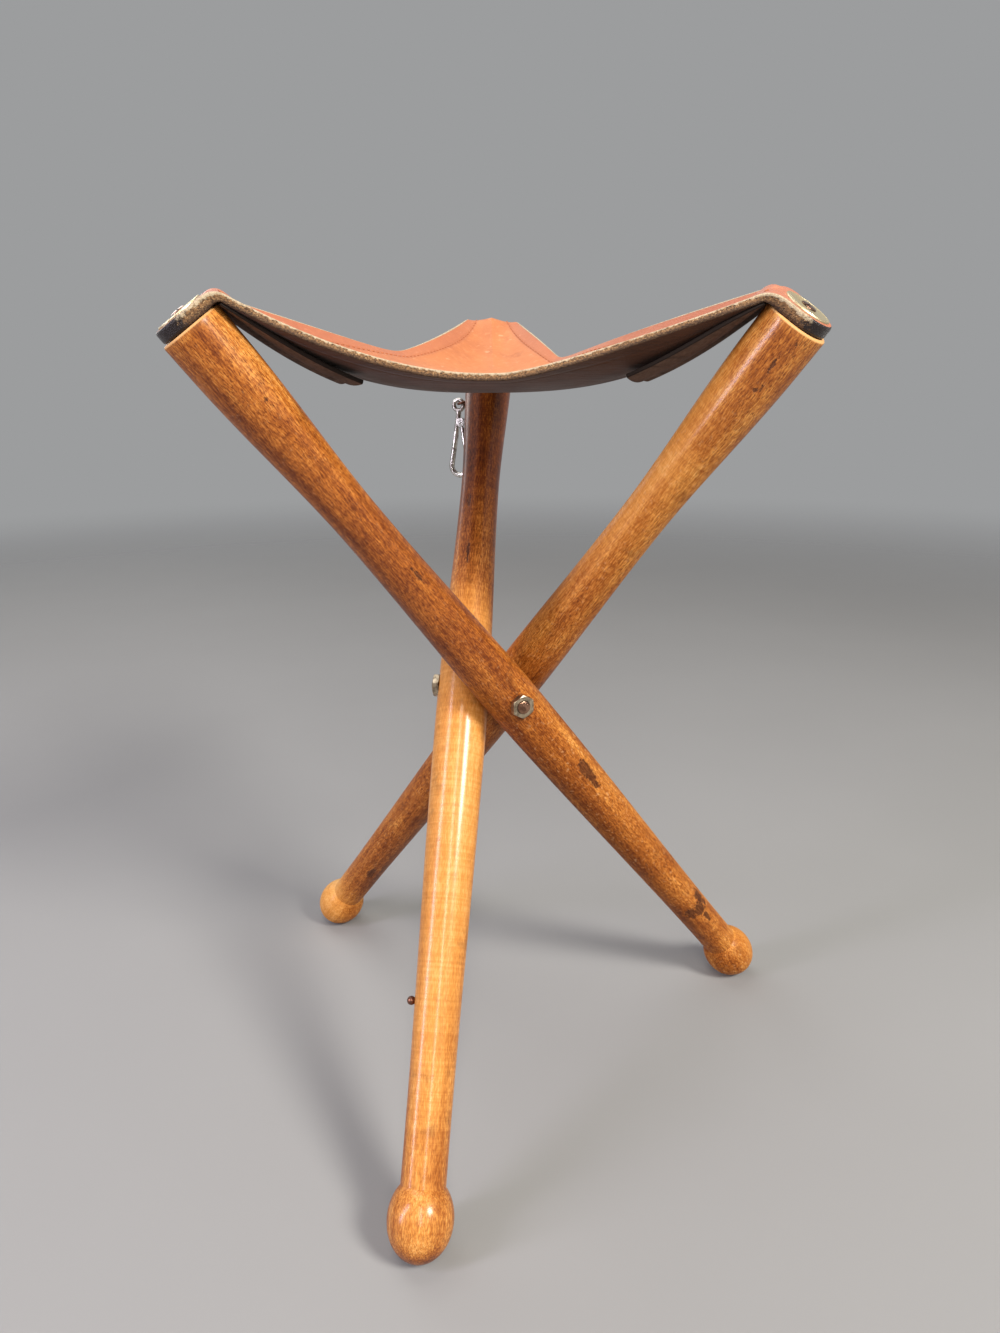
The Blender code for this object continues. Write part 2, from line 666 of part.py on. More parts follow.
def main():
    clear_scene()
    wood = material("stained_beech", (0.36, 0.155, 0.048), 0.38)
    leather = material("seat_leather", (0.46, 0.17, 0.075), 0.55)
    suede = material("patch_leather", (0.20, 0.135, 0.10), 0.8)
    zinc = material("bolt_steel", (0.33, 0.28, 0.23), 0.42, 1.0)
    brass = material("disc_brass", (0.62, 0.50, 0.34), 0.35, 1.0)
    nickel = material("hook_nickel", (0.62, 0.58, 0.54), 0.22, 1.0)
    iron = material("stud_iron", (0.24, 0.19, 0.16), 0.35, 1.0)

    legs = [Leg(side) for side in CORNER_HEADINGS]
    seats = [Seat(leg) for leg in legs]
    floor = helper("floor", block((-1, -1, -0.1), (1, 1, 0)))
    make_bolt(legs, zinc)
    screw_holes = []
    bodies = {}
    for leg, seat in zip(legs, seats):
        high = UPPER_LENGTH + 2 * STACK
        hole = helper(f"screw_hole_{leg.side}", rod(SCREW_HOLE, UPPER_LENGTH - SCREW_DEPTH - GAP, high))
        screw_holes.append(hang(hole, leg.empty, leg.place))
        bodies[leg.side] = make_leg(leg, floor, hole, wood)
        make_nut(leg, zinc)
        make_patch(seat, hole, suede)
        make_fastening(leg, hole, brass, zinc)
    make_seat(seats, screw_holes, leather)

    back = legs[-1]
    eye_socket, swing = make_eye(back, iron)
    combine(bodies[back.side], eye_socket)
    swing_empty = bpy.data.objects.new("hook_swing", None)
    bpy.context.scene.collection.objects.link(swing_empty)
    hang(swing_empty, back.empty, swing)
    make_hook(swing_empty, nickel)
    make_gate(swing_empty, nickel)
    combine(bodies[back.side], make_stud(back, iron))


main()
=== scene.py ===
# %% [markdown]
# # A folding tripod stool, dressed
#
# Three turned hardwood legs cross on a three-way bolt and carry a slung leather seat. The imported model
# gives every piece its place and its motion, so this lesson only makes the surfaces: first the stage,
# then the finishes, then each piece over the solid that it stands for.

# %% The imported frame
import json
import math

import bmesh
import bpy
import numpy as np
from mathutils import Matrix, Vector


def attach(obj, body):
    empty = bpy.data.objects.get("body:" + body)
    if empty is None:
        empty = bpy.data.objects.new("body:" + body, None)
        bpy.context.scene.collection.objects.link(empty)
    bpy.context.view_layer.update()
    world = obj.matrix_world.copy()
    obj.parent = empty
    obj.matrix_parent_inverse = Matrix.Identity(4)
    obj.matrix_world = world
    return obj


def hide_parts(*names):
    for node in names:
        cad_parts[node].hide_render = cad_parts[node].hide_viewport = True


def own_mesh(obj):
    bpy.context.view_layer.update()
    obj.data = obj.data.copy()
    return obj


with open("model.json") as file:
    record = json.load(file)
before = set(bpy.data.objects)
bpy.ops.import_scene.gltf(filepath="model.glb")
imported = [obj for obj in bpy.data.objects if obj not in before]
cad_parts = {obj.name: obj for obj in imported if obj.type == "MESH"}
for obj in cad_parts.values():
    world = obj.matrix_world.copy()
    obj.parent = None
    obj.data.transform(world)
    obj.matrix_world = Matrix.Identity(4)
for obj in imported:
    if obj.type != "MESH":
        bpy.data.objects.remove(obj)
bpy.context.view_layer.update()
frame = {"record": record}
JOINTS = {joint["name"]: joint for joint in frame["record"]["behaviour"]["joints"]}
SIDES = ("left", "right", "back")
UP = Vector((0, 0, 1))

# %% [markdown]
# ## The view
#
# The camera stands where the photograph was taken from: low, close and looking a little down. Its place
# was worked out from the legs' edges and feet, with the picture taken to be 1000 by 1333 pixels.

# %% Camera
LENS = 24.355
EYE_POINT = Vector((-0.0046, -0.5440, 0.4408))
LOOK_DOWN = math.radians(17.67)
LOOK_TURN = math.radians(-0.7)
ROLL = math.radians(-0.47)

camera = bpy.data.objects.new("camera", bpy.data.cameras.new("camera"))
camera.data.lens = LENS
camera.data.sensor_width = 36
camera.data.clip_start = 0.02
bpy.context.scene.collection.objects.link(camera)
tilt = Matrix.Rotation(math.pi / 2 - LOOK_DOWN, 4, "X")
camera.matrix_world = (
    Matrix.Translation(EYE_POINT)
    @ Matrix.Rotation(LOOK_TURN, 4, "Z")
    @ tilt
    @ Matrix.Rotation(ROLL, 4, "Z")
)
bpy.context.scene.camera = camera
bpy.context.scene.view_settings.view_transform = "Standard"
print("camera at", tuple(round(value, 3) for value in EYE_POINT))

# %% [markdown]
# ## Building with nodes
#
# Finishes and repeated pieces are both node trees. One small helper adds a node, and links each input
# that is a socket or sets each input that is a plain value, so that a tree reads like a recipe.


# %% A helper for node trees
class Recipe:
    """Adds nodes to a tree."""

    def __init__(self, tree):
        self.tree = tree

    def feed(self, socket, value):
        if isinstance(value, bpy.types.NodeSocket):
            self.tree.links.new(value, socket)
        else:
            socket.default_value = value

    def node(self, kind, feeds=None, **settings):
        made = self.tree.nodes.new(kind)
        for name, value in settings.items():
            setattr(made, name, value)
        for key, value in (feeds or {}).items():
            self.feed(made.inputs[key], value)
        return made

    def math(self, operation, first, second=0.0, clamp=False):
        made = self.node("ShaderNodeMath", {0: first, 1: second}, operation=operation)
        made.use_clamp = clamp
        return made.outputs[0]

    def vector_math(self, operation, first, second):
        return self.node("ShaderNodeVectorMath", {0: first, 1: second}, operation=operation).outputs[0]

    def fit(self, value, low, high, start=0.0, end=1.0, smooth=True):
        """Maps a value from one range to another, clamped at both ends."""
        made = self.node("ShaderNodeMapRange", {0: value, 1: low, 2: high, 3: start, 4: end})
        made.interpolation_type = "SMOOTHSTEP" if smooth else "LINEAR"
        return made.outputs[0]

    def mix(self, share, first, second, blend="MIX"):
        made = self.node("ShaderNodeMix", data_type="RGBA", blend_type=blend)
        for index, value in ((0, share), (6, first), (7, second)):
            self.feed(made.inputs[index], value)
        return made.outputs[2]

    def noise(self, vector, scale, detail=3.0, rough=0.55):
        feeds = {"Vector": vector, "Scale": scale, "Detail": detail, "Roughness": rough}
        return self.node("ShaderNodeTexNoise", feeds).outputs[0]

    def attribute(self, name, output="Fac"):
        return self.node("ShaderNodeAttribute", attribute_name=name).outputs[output]


def rgb(red, green, blue):
    """A colour for a node, from the 0 to 255 values that a screen shows."""
    shares = [value / 255 for value in (red, green, blue)]
    linear = [s / 12.92 if s <= 0.04045 else ((s + 0.055) / 1.055) ** 2.4 for s in shares]
    return (*linear, 1.0)


print("middle grey for a node:", round(rgb(128, 128, 128)[0], 3))

# %% [markdown]
# ## The floor
#
# The stool stands on a plain pale floor that fades into an even background, so it can be seen from every
# side. One large square with a matt paint is enough for that. The paint turns clear far out, so that no
# edge shows, and on its underside, so that a camera below the floor can look up at the seat.

# %% Floor
FLOOR_SIZE = 9.0
FLOOR_FADE = (1.1, 3.2)

floor_mesh = bpy.data.meshes.new("floor")
half_floor = FLOOR_SIZE / 2
corners = [(x * half_floor, y * half_floor, 0) for x, y in ((-1, -1), (1, -1), (1, 1), (-1, 1))]
floor_mesh.from_pydata(corners, [], [(0, 1, 2, 3)])
floor = bpy.data.objects.new("floor", floor_mesh)
bpy.context.scene.collection.objects.link(floor)

floor_paint = bpy.data.materials.new("floor_paint")
floor_paint.use_nodes = True
paint = Recipe(floor_paint.node_tree)
matt = floor_paint.node_tree.nodes["Principled BSDF"]
where = paint.node("ShaderNodeTexCoord").outputs["Object"]
matt.inputs["Roughness"].default_value = 0.75
matt.inputs["Specular IOR Level"].default_value = 0.2
cloudy = paint.noise(where, 3.0)
paint.feed(matt.inputs["Base Color"], paint.mix(cloudy, rgb(142, 141, 139), rgb(148, 147, 145)))
distance = paint.node("ShaderNodeVectorMath", {0: where}, operation="LENGTH").outputs["Value"]
below = paint.node("ShaderNodeNewGeometry").outputs["Backfacing"]
fade_and_side_shade = paint.math("MAXIMUM", paint.fit(distance, *FLOOR_FADE), below)
clear = paint.node("ShaderNodeBsdfTransparent").outputs[0]
blended = paint.node("ShaderNodeMixShader", {0: fade_and_side_shade, 1: matt.outputs[0], 2: clear})
paint.feed(floor_paint.node_tree.nodes["Material Output"].inputs["Surface"], blended.outputs[0])
floor_mesh.materials.append(floor_paint)
print("floor:", FLOOR_SIZE, "m wide, clear from", FLOOR_FADE[1], "m out")

# %% [markdown]
# ## The background
#
# The world does two jobs: it is a weak even light on every surface, and it is the grey that shows behind
# the stool. A mix by the kind of ray keeps the two apart, so that the grey can be matched without
# changing the light.

# %% Background
BACKGROUND = rgb(156, 157, 158)

world = bpy.data.worlds.new("studio")
bpy.context.scene.world = world
world.use_nodes = True
sky = Recipe(world.node_tree)
ambient = world.node_tree.nodes["Background"]
ambient.inputs["Color"].default_value = rgb(226, 228, 232)
ambient.inputs["Strength"].default_value = 0.2
seen = sky.node("ShaderNodeBackground", {"Color": BACKGROUND})
rays = sky.node("ShaderNodeLightPath").outputs
shown = sky.math("ADD", rays["Is Camera Ray"], rays["Is Glossy Ray"])
shown = sky.math("ADD", shown, rays["Is Transmission Ray"], clamp=True)
either = sky.node("ShaderNodeMixShader", {0: shown, 1: ambient.outputs[0], 2: seen.outputs[0]})
sky.feed(world.node_tree.nodes["World Output"].inputs["Surface"], either.outputs[0])
print("background:", tuple(round(value, 3) for value in BACKGROUND[:3]))

# %% [markdown]
# ## The lamps
#
# A soft square lamp at the right makes the main shadows. Two tall narrow lamps, a cool one at the left
# and a warm one in front, draw the two streaks that varnish shows along a round leg. A picture of a
# studio could light the stool as well, but area lamps can be aimed one streak at a time.


# %% Lamps
def lamp(name, place, aim, size, power, colour=(1, 1, 1)):
    """A rectangular soft lamp that faces a point."""
    light = bpy.data.lights.new(name, "AREA")
    light.shape = "RECTANGLE"
    light.size, light.size_y = size
    light.energy = power
    light.color = colour
    made = bpy.data.objects.new(name, light)
    bpy.context.scene.collection.objects.link(made)
    made.location = place
    made.rotation_mode = "QUATERNION"
    made.rotation_quaternion = (Vector(aim) - Vector(place)).to_track_quat("-Z", "Y")


MIDDLE = (0, 0, 0.25)
lamp("key", (1.35, -1.25, 1.75), MIDDLE, (0.6, 0.6), 68, (1.0, 0.97, 0.93))
lamp("cool_strip", (-1.43, -0.66, 0.88), MIDDLE, (0.26, 1.3), 20, (0.84, 0.8, 1.0))
lamp("warm_strip", (0.07, -1.34, 1.26), MIDDLE, (0.2, 1.2), 13, (1.0, 0.94, 0.85))
lamp("top", (-0.4, 0.5, 2.2), MIDDLE, (1.4, 1.4), 16)
lamp("rear", (-1.2, 1.5, 1.2), MIDDLE, (1.0, 1.0), 8)

# %% [markdown]
# ## Effects that several finishes share
#
# Old wood, leather and metal all carry soft patches of dirt and fine straight scratches. Each effect is a
# node group with its own inputs, built once. A group gives only masks, and each material mixes its own
# colours with them.


# %% Shared effects
def effect(name, inputs):
    """A new shader group with named float inputs, a vector and one mask."""
    tree = bpy.data.node_groups.new(name, "ShaderNodeTree")
    tree.interface.new_socket("Vector", in_out="INPUT", socket_type="NodeSocketVector")
    for label, value in inputs.items():
        tree.interface.new_socket(label, in_out="INPUT", socket_type="NodeSocketFloat").default_value = value
    tree.interface.new_socket("Mask", in_out="OUTPUT", socket_type="NodeSocketFloat")
    recipe = Recipe(tree)
    return recipe, recipe.node("NodeGroupInput").outputs, recipe.node("NodeGroupOutput").inputs["Mask"]


recipe, given, mask = effect("soil", {"Scale": 20.0, "Start": 0.5, "End": 0.7})
blotches = recipe.noise(given["Vector"], given["Scale"], 5.0, 0.6)
recipe.feed(mask, recipe.fit(blotches, given["Start"], given["End"]))

recipe, given, mask = effect("scratches", {"Fine": 900.0, "Long": 40.0, "Start": 0.6, "End": 0.72})
factors = {0: given["Fine"], 1: given["Fine"], 2: given["Long"]}
stretch = recipe.node("ShaderNodeCombineXYZ", factors).outputs[0]
lines = recipe.noise(recipe.vector_math("MULTIPLY", given["Vector"], stretch), 1.0, 2.0)
recipe.feed(mask, recipe.fit(lines, given["Start"], given["End"]))
print("shared effects:", len(bpy.data.node_groups))

# %% [markdown]
# A finish is a material with its main shader ready. The class below places a shared effect, feeds the
# shader's sockets and stacks bumps, so that each material that follows reads as a short list of layers.


# %% A finish
class Finish(Recipe):
    """A material with its Principled shader ready, and the shared effects at hand."""

    def __init__(self, name, **constants):
        self.material = bpy.data.materials.new(name)
        self.material.use_nodes = True
        super().__init__(self.material.node_tree)
        self.shader = self.tree.nodes["Principled BSDF"]
        for label, value in constants.items():
            self.shader.inputs[label.replace("_", " ")].default_value = value

    def effect(self, name, vector, **values):
        made = self.node("ShaderNodeGroup", node_tree=bpy.data.node_groups[name])
        self.feed(made.inputs["Vector"], vector)
        for label, value in values.items():
            self.feed(made.inputs[label], value)
        return made.outputs["Mask"]

    def show(self, **sockets):
        for label, value in sockets.items():
            self.feed(self.shader.inputs[label.replace("_", " ")], value)

    def bump(self, *heights):
        """Stacks bumps, each a height from 0 to 1 and its depth in metres."""
        before = None
        for height, depth in heights:
            feeds = {"Height": height, "Distance": depth, "Strength": 1.0}
            if before:
                feeds["Normal"] = before
            before = self.node("ShaderNodeBump", feeds).outputs[0]
        self.show(Normal=before)

    def place(self):
        return self.node("ShaderNodeTexCoord").outputs["Object"]


print("a finish can use:", ", ".join(group.name for group in bpy.data.node_groups))

# %% [markdown]
# ## Waxed beech
#
# Beech is known by its short dark flecks along the grain. The stain has gone patchy: it is nearly
# black-red where hands never reached and golden where the wax is worn. The tone also holds painted light
# and shade: each leg is lighter on the side that faces up and darker on the side that faces down, and the
# back leg's upper end is darker under the seat, partly stain and partly painted shade. A photograph of
# wood would repeat and stretch on a turned leg, so the colour is made from noise instead. The legs carry
# their own grain coordinates and a tone, so that the pattern runs along each leg, whichever way it leans.

# %% Wood figure
wood = Finish("stained_beech", Coat_Roughness=0.19, Specular_IOR_Level=0.12)
grain = wood.attribute("grain", "Vector")
# The tone is the stain's own tone with painted light and shade added: lighter up-facing sides, darker
# down-facing sides and a darker back leg under the seat
tone = wood.attribute("tone")
worn = wood.attribute("worn")
stain = wood.attribute("stain")
bare = wood.attribute("bare")

streak_map = wood.vector_math("MULTIPLY", grain, (70.0, 70.0, 5.0))
streaks = wood.noise(streak_map, 1.0, 4.0, 0.6)
fine_map = wood.vector_math("MULTIPLY", grain, (1300.0, 1300.0, 260.0))
fine_grain = wood.noise(fine_map, 1.0, 3.0, 0.6)
flecks = wood.effect("scratches", grain, Fine=1900.0, Long=420.0, Start=0.53, End=0.62)
mid_map = wood.vector_math("MULTIPLY", grain, (190.0, 190.0, 13.0))
mid_grain = wood.noise(mid_map, 1.0, 3.0, 0.6)
ring_map = wood.vector_math("MULTIPLY", grain, (12.0, 12.0, 760.0))
turning_rings = wood.noise(ring_map, 1.0, 2.0)
patches = wood.effect("soil", grain, Scale=26.0, Start=0.42, End=0.72)
grime = wood.effect("soil", grain, Scale=75.0, Start=0.56, End=0.72)

figure = wood.fit(streaks, 0.25, 0.75, -0.12, 0.12)
figure = wood.math("ADD", figure, wood.fit(mid_grain, 0.3, 0.7, -0.08, 0.08))
figure = wood.math("ADD", figure, wood.fit(fine_grain, 0.3, 0.7, -0.15, 0.15))
figure = wood.math("SUBTRACT", figure, wood.math("MULTIPLY", patches, 0.12))
figure = wood.math("MULTIPLY", figure, wood.fit(tone, 0.62, 0.8, 1.0, 0.4))
shade = wood.math("ADD", tone, figure)
shade = wood.math("ADD", shade, wood.fit(turning_rings, 0.3, 0.7, -0.035, 0.035), clamp=True)
print("wood figure nodes:", len(wood.tree.nodes))

# %% [markdown]
# The figure is only a number from dark to pale. A colour ramp turns it into stained wood, and then come the
# layers that age it: flecks, grime, rubbed spots, dark blots in the dents and bare wood at the head's rim.
# The varnish is a thin coat that is missing where the leg is worn.

# %% Wood colours
ramp = wood.node("ShaderNodeValToRGB", {"Fac": shade})
stops = ramp.color_ramp.elements
stops[0].color = rgb(62, 25, 7)
stops[1].color = rgb(240, 186, 112)
for position, colour in ((0.3, rgb(118, 58, 18)), (0.55, rgb(170, 98, 36)), (0.78, rgb(212, 142, 66))):
    stops.new(position).color = colour
dark_flecks = wood.math("MULTIPLY", flecks, wood.fit(tone, 0.58, 0.76, 0.7, 0.12))
colour = wood.mix(dark_flecks, ramp.outputs[0], rgb(90, 36, 9))
colour = wood.mix(wood.math("MULTIPLY", grime, 0.32), colour, rgb(72, 36, 17))
rubbed = wood.math("MULTIPLY", wood.effect("soil", grain, Scale=430.0, Start=0.58, End=0.68), worn)
colour = wood.mix(wood.math("MULTIPLY", rubbed, 0.6), colour, rgb(222, 172, 118))
ragged = wood.math("ADD", stain, wood.fit(wood.noise(grain, 420.0, 3.0), 0.3, 0.7, -0.28, 0.28))
blot = wood.fit(ragged, 0.34, 0.66)
blot_tint = wood.mix(wood.fit(fine_grain, 0.4, 0.65), rgb(58, 27, 13), rgb(106, 60, 30))
colour = wood.mix(wood.math("MULTIPLY", blot, 0.88), colour, blot_tint)
colour = wood.mix(wood.math("MULTIPLY", bare, 0.85), colour, rgb(222, 172, 112))
gloss = wood.fit(wood.noise(grain, 34.0), 0.3, 0.7, 0.34, 0.5)
gloss = wood.math("ADD", gloss, wood.math("MULTIPLY", worn, 0.16))
varnish = wood.fit(wood.math("ADD", worn, wood.math("MULTIPLY", bare, 2.0)), 0.0, 0.6, 0.5, 0.03)
wood.show(Base_Color=colour, Roughness=gloss, Coat_Weight=varnish)
wood.bump((flecks, -0.00003), (fine_grain, 0.00002), (turning_rings, 0.00002), (blot, -0.0003))
print("wood nodes:", len(wood.tree.nodes))

# %% [markdown]
# ## Saddle leather
#
# The seat is one thick hide. Its top is a salmon tan that has bleached to orange at the back, with
# clouds, pores, rubs and a creased line along each hem. One material covers top, cut edge and underside,
# so the mesh carries measures that tell them apart: the distance to the hem, how deep a point lies from
# top to underside, and how far out on a tab it is. Separate materials would meet in hard lines that real
# leather doesn't have.

# %% Top of the hide
STITCH_INSET = 0.0064

leather = Finish("saddle_leather", Specular_IOR_Level=0.3, Sheen_Weight=0.12, Sheen_Roughness=0.4)
spot = leather.place()
hem = leather.attribute("hem")
layer = leather.attribute("layer")
tab = leather.attribute("tab")

pores = leather.node("ShaderNodeTexVoronoi", {"Vector": spot, "Scale": 900.0}).outputs["Distance"]
hide = leather.noise(spot, 260.0, 4.0, 0.6)
cloud = leather.noise(spot, 24.0, 5.0, 0.62)
dirt = leather.effect("soil", spot, Scale=62.0, Start=0.55, End=0.75)
rubs = leather.effect("scratches", spot, Fine=160.0, Long=420.0, Start=0.64, End=0.74)
backwards = leather.node("ShaderNodeSeparateXYZ", {0: spot}).outputs["Y"]
orange = leather.fit(backwards, -0.05, 0.09)
top_tint = leather.mix(orange, rgb(176, 110, 81), rgb(192, 120, 71))
top_tint = leather.mix(leather.fit(cloud, 0.35, 0.72, 0.0, 0.45), top_tint, rgb(158, 86, 56))
fair = leather.fit(hide, 0.5, 0.75, 0.0, 0.35)
top_tint = leather.mix(fair, top_tint, rgb(222, 148, 100))
top_tint = leather.mix(leather.math("MULTIPLY", dirt, 0.3), top_tint, rgb(126, 68, 46))
top_tint = leather.mix(leather.math("MULTIPLY", rubs, 0.35), top_tint, rgb(236, 178, 140))
from_crease = leather.math("ABSOLUTE", leather.math("SUBTRACT", hem, STITCH_INSET))
crease = leather.fit(from_crease, 0.0003, 0.0015, 1.0, 0.0)
top_tint = leather.mix(leather.math("MULTIPLY", crease, 0.16), top_tint, rgb(128, 66, 44))
rim_grime = leather.fit(hem, 0.004, 0.0095, 0.55, 0.0)
top_tint = leather.mix(rim_grime, top_tint, rgb(172, 104, 76))
print("nodes of the top:", len(leather.tree.nodes))

# %% [markdown]
# The cut edge shows the hide's fibres. A pale wavy line runs along the upper arris, partly wear and
# partly painted highlight. The lower half of the cut is painted darker as shade, and the rounded end of
# each tab is burnished almost black. The flesh side is brown and wrinkled.

# %% Cut edge and flesh side
fibres = leather.noise(leather.vector_math("MULTIPLY", spot, (900.0, 900.0, 1500.0)), 1.0, 4.0, 0.7)
cut_tint = leather.mix(leather.fit(fibres, 0.35, 0.65), rgb(54, 36, 24), rgb(146, 108, 70))
specks = leather.fit(leather.noise(spot, 1500.0, 2.0), 0.58, 0.7)
cut_tint = leather.mix(leather.math("MULTIPLY", specks, 0.75), cut_tint, rgb(206, 168, 118))
# Painted shade: the lower half of the cut edge is made darker
painted_lower_shade = leather.fit(layer, 0.5, 0.8, 0.0, 0.7)
cut_tint = leather.mix(painted_lower_shade, cut_tint, rgb(48, 32, 24))
wobble = leather.fit(leather.noise(spot, 420.0, 4.0), 0.3, 0.7, -0.1, 0.1)
# The pale line on the upper arris is partly wear and partly painted highlight
arris_wear_and_highlight = leather.fit(leather.math("ADD", layer, wobble), 0.24, 0.38, 1.0, 0.0)
broken = leather.fit(leather.noise(spot, 900.0, 4.0, 0.7), 0.34, 0.56, 0.4, 0.95)
cut_tint = leather.mix(leather.math("MULTIPLY", arris_wear_and_highlight, broken), cut_tint, rgb(192, 174, 144))
burnished = leather.fit(leather.math("ADD", tab, wobble), 0.58, 0.74)
cut_tint = leather.mix(burnished, cut_tint, rgb(34, 25, 24))

wrinkle_map = leather.vector_math("MULTIPLY", spot, (40.0, 40.0, 700.0))
wrinkles = leather.noise(wrinkle_map, 1.0, 3.0)
flesh = leather.mix(leather.noise(spot, 55.0, 5.0), rgb(50, 26, 12), rgb(84, 46, 22))
flesh = leather.mix(leather.fit(wrinkles, 0.5, 0.7, 0.0, 0.4), flesh, rgb(36, 20, 11))
print("nodes with the cut edge:", len(leather.tree.nodes))

# %% [markdown]
# The depth measure now chooses between top, cut and flesh. It also sets where the surface is fibrous or
# wrinkled, and the burnished tab ends are the only polished part of the cut.

# %% Leather finish
colour = leather.mix(leather.fit(layer, 0.03, 0.1), top_tint, cut_tint)
colour = leather.mix(leather.fit(layer, 0.91, 0.98), colour, flesh)
on_cut = leather.math("MULTIPLY", leather.fit(layer, 0.03, 0.1), leather.fit(layer, 0.9, 0.97, 1.0, 0.0))
rough = leather.fit(cloud, 0.3, 0.7, 0.5, 0.68)
rough = leather.math("ADD", rough, leather.math("MULTIPLY", on_cut, 0.2))
polish = leather.math("MULTIPLY", on_cut, burnished)
rough = leather.math("SUBTRACT", rough, leather.math("MULTIPLY", polish, 0.55), clamp=True)
leather.show(Base_Color=colour, Roughness=rough)
leather.bump(
    (crease, -0.0002),
    (hide, 0.00012),
    (leather.fit(pores, 0.0, 0.5), 0.00006),
    (leather.math("MULTIPLY", fibres, on_cut), 0.0004),
    (leather.math("MULTIPLY", wrinkles, leather.fit(layer, 0.9, 1.0)), 0.0005),
)
print("leather nodes:", len(leather.tree.nodes))

# %% [markdown]
# ## Suede and thread
#
# The thin second ply under each corner is dark suede with shallow folds, and the stitches are waxed
# thread. Both are matt and show no gloss, so a nap of fine noise in colour, roughness and bump is all
# that they need.

# %% Suede and thread
suede = Finish("patch_suede", Specular_IOR_Level=0.15)
spot = suede.place()
nap = suede.noise(spot, 420.0, 4.0, 0.65)
stained = suede.effect("soil", spot, Scale=48.0, Start=0.45, End=0.7)
layer = suede.attribute("layer")
edge = suede.math("MULTIPLY", suede.fit(layer, 0.02, 0.1), suede.fit(layer, 0.9, 0.98, 0.95, 0.0))
colour = suede.mix(suede.fit(nap, 0.3, 0.75), rgb(84, 66, 56), rgb(112, 92, 80))
colour = suede.mix(suede.math("MULTIPLY", stained, 0.4), colour, rgb(62, 47, 39))
folds = suede.noise(suede.vector_math("MULTIPLY", spot, (30.0, 30.0, 620.0)), 1.0, 3.0)
colour = suede.mix(suede.fit(folds, 0.52, 0.7, 0.0, 0.5), colour, rgb(44, 34, 30))
colour = suede.mix(edge, colour, rgb(30, 23, 20))
suede.show(Base_Color=colour, Roughness=suede.fit(nap, 0.3, 0.7, 0.78, 0.92))
suede.bump((folds, 0.0004), (nap, 0.00012))

thread = Finish("waxed_thread", Specular_IOR_Level=0.25)
spot = thread.place()
lay = thread.noise(spot, 1500.0, 2.0)
colour = thread.mix(lay, rgb(150, 84, 54), rgb(196, 126, 86))
thread.show(Base_Color=colour, Roughness=thread.fit(lay, 0.3, 0.7, 0.6, 0.8))
thread.bump((lay, 0.0001))
print("suede nodes:", len(suede.tree.nodes), "thread nodes:", len(thread.tree.nodes))

# %% [markdown]
# ## Metals
#
# The metals differ in colour and in how far they have dulled: pale worn brass discs, brown plated bolt and
# nuts, bright nickel on the hook and dark iron on the stud. They have aged in the same way, so one function
# makes a worn metal from three colours and two roughnesses, and each call gives it other values.


# %% Worn metals
def worn_metal(name, bright, dull, tarnish, smooth, rough):
    """A metal with tarnished patches, fine scratches and a roughness that follows them."""
    metal = Finish(name, Metallic=1.0)
    at = metal.place()
    spots = metal.effect("soil", at, Scale=190.0, Start=0.42, End=0.66)
    film = metal.effect("soil", at, Scale=60.0, Start=0.4, End=0.7)
    hairlines = metal.effect("scratches", at, Fine=700.0, Long=4200.0, Start=0.6, End=0.7)
    tint = metal.mix(film, bright, dull)
    tint = metal.mix(metal.math("MULTIPLY", spots, 0.75), tint, tarnish)
    tint = metal.mix(metal.math("MULTIPLY", hairlines, 0.4), tint, bright)
    blur = metal.fit(metal.math("ADD", spots, film), 0.0, 1.6, smooth, rough)
    metal.show(Base_Color=tint, Roughness=blur)
    metal.bump((spots, -0.00005), (hairlines, -0.00003))
    return metal.material


disc_brass = worn_metal("pale_brass", rgb(240, 226, 188), rgb(218, 200, 158), rgb(172, 148, 108), 0.38, 0.6)
nut_plate = worn_metal("nut_plating", rgb(206, 188, 160), rgb(124, 106, 86), rgb(62, 47, 36), 0.3, 0.55)
bolt_bronze = worn_metal("bolt_browned", rgb(176, 136, 112), rgb(126, 88, 68), rgb(70, 44, 34), 0.2, 0.4)
hook_nickel = worn_metal("hook_plating", rgb(232, 226, 218), rgb(190, 182, 172), rgb(98, 86, 76), 0.14, 0.4)
stud_iron = worn_metal("stud_browned", rgb(150, 104, 84), rgb(108, 70, 54), rgb(58, 38, 32), 0.28, 0.5)
print("finishes:", len(bpy.data.materials))

# %% [markdown]
# ## The stool's own sizes
#
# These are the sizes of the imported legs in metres, because the finer surfaces are drawn by the same rules.
# Only the feet differ: here their balls are a little smaller and their ankles thicker, as the photograph
# shows them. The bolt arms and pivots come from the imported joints.

# %% Sizes of the legs
LEG_TILT = math.radians(38)
GAP = 0.0003
UPPER_LENGTH = 0.270
LOWER_LENGTH = 0.2969
HEAD_RADIUS = 0.01675
HEAD_SWELL_HEIGHT = 0.250
HEAD_ROUNDING = 0.0013
WAIST_RADIUS = 0.01305
WAIST_HEIGHT = 0.145
BELLY_RADIUS = 0.01625
BELLY_HEIGHT = -0.010
ANKLE_RADIUS = 0.0123
FOOT_RADIUS = 0.0178
FOOT_HALF_LENGTH = 0.0210
ANKLE_HEIGHT = FOOT_HALF_LENGTH * math.sqrt(1 - (ANKLE_RADIUS / FOOT_RADIUS) ** 2) - LOWER_LENGTH
ARM_RADIUS = 0.004
SPOT_RADIUS = 0.0088
SPOT_DEPTH = 0.0012


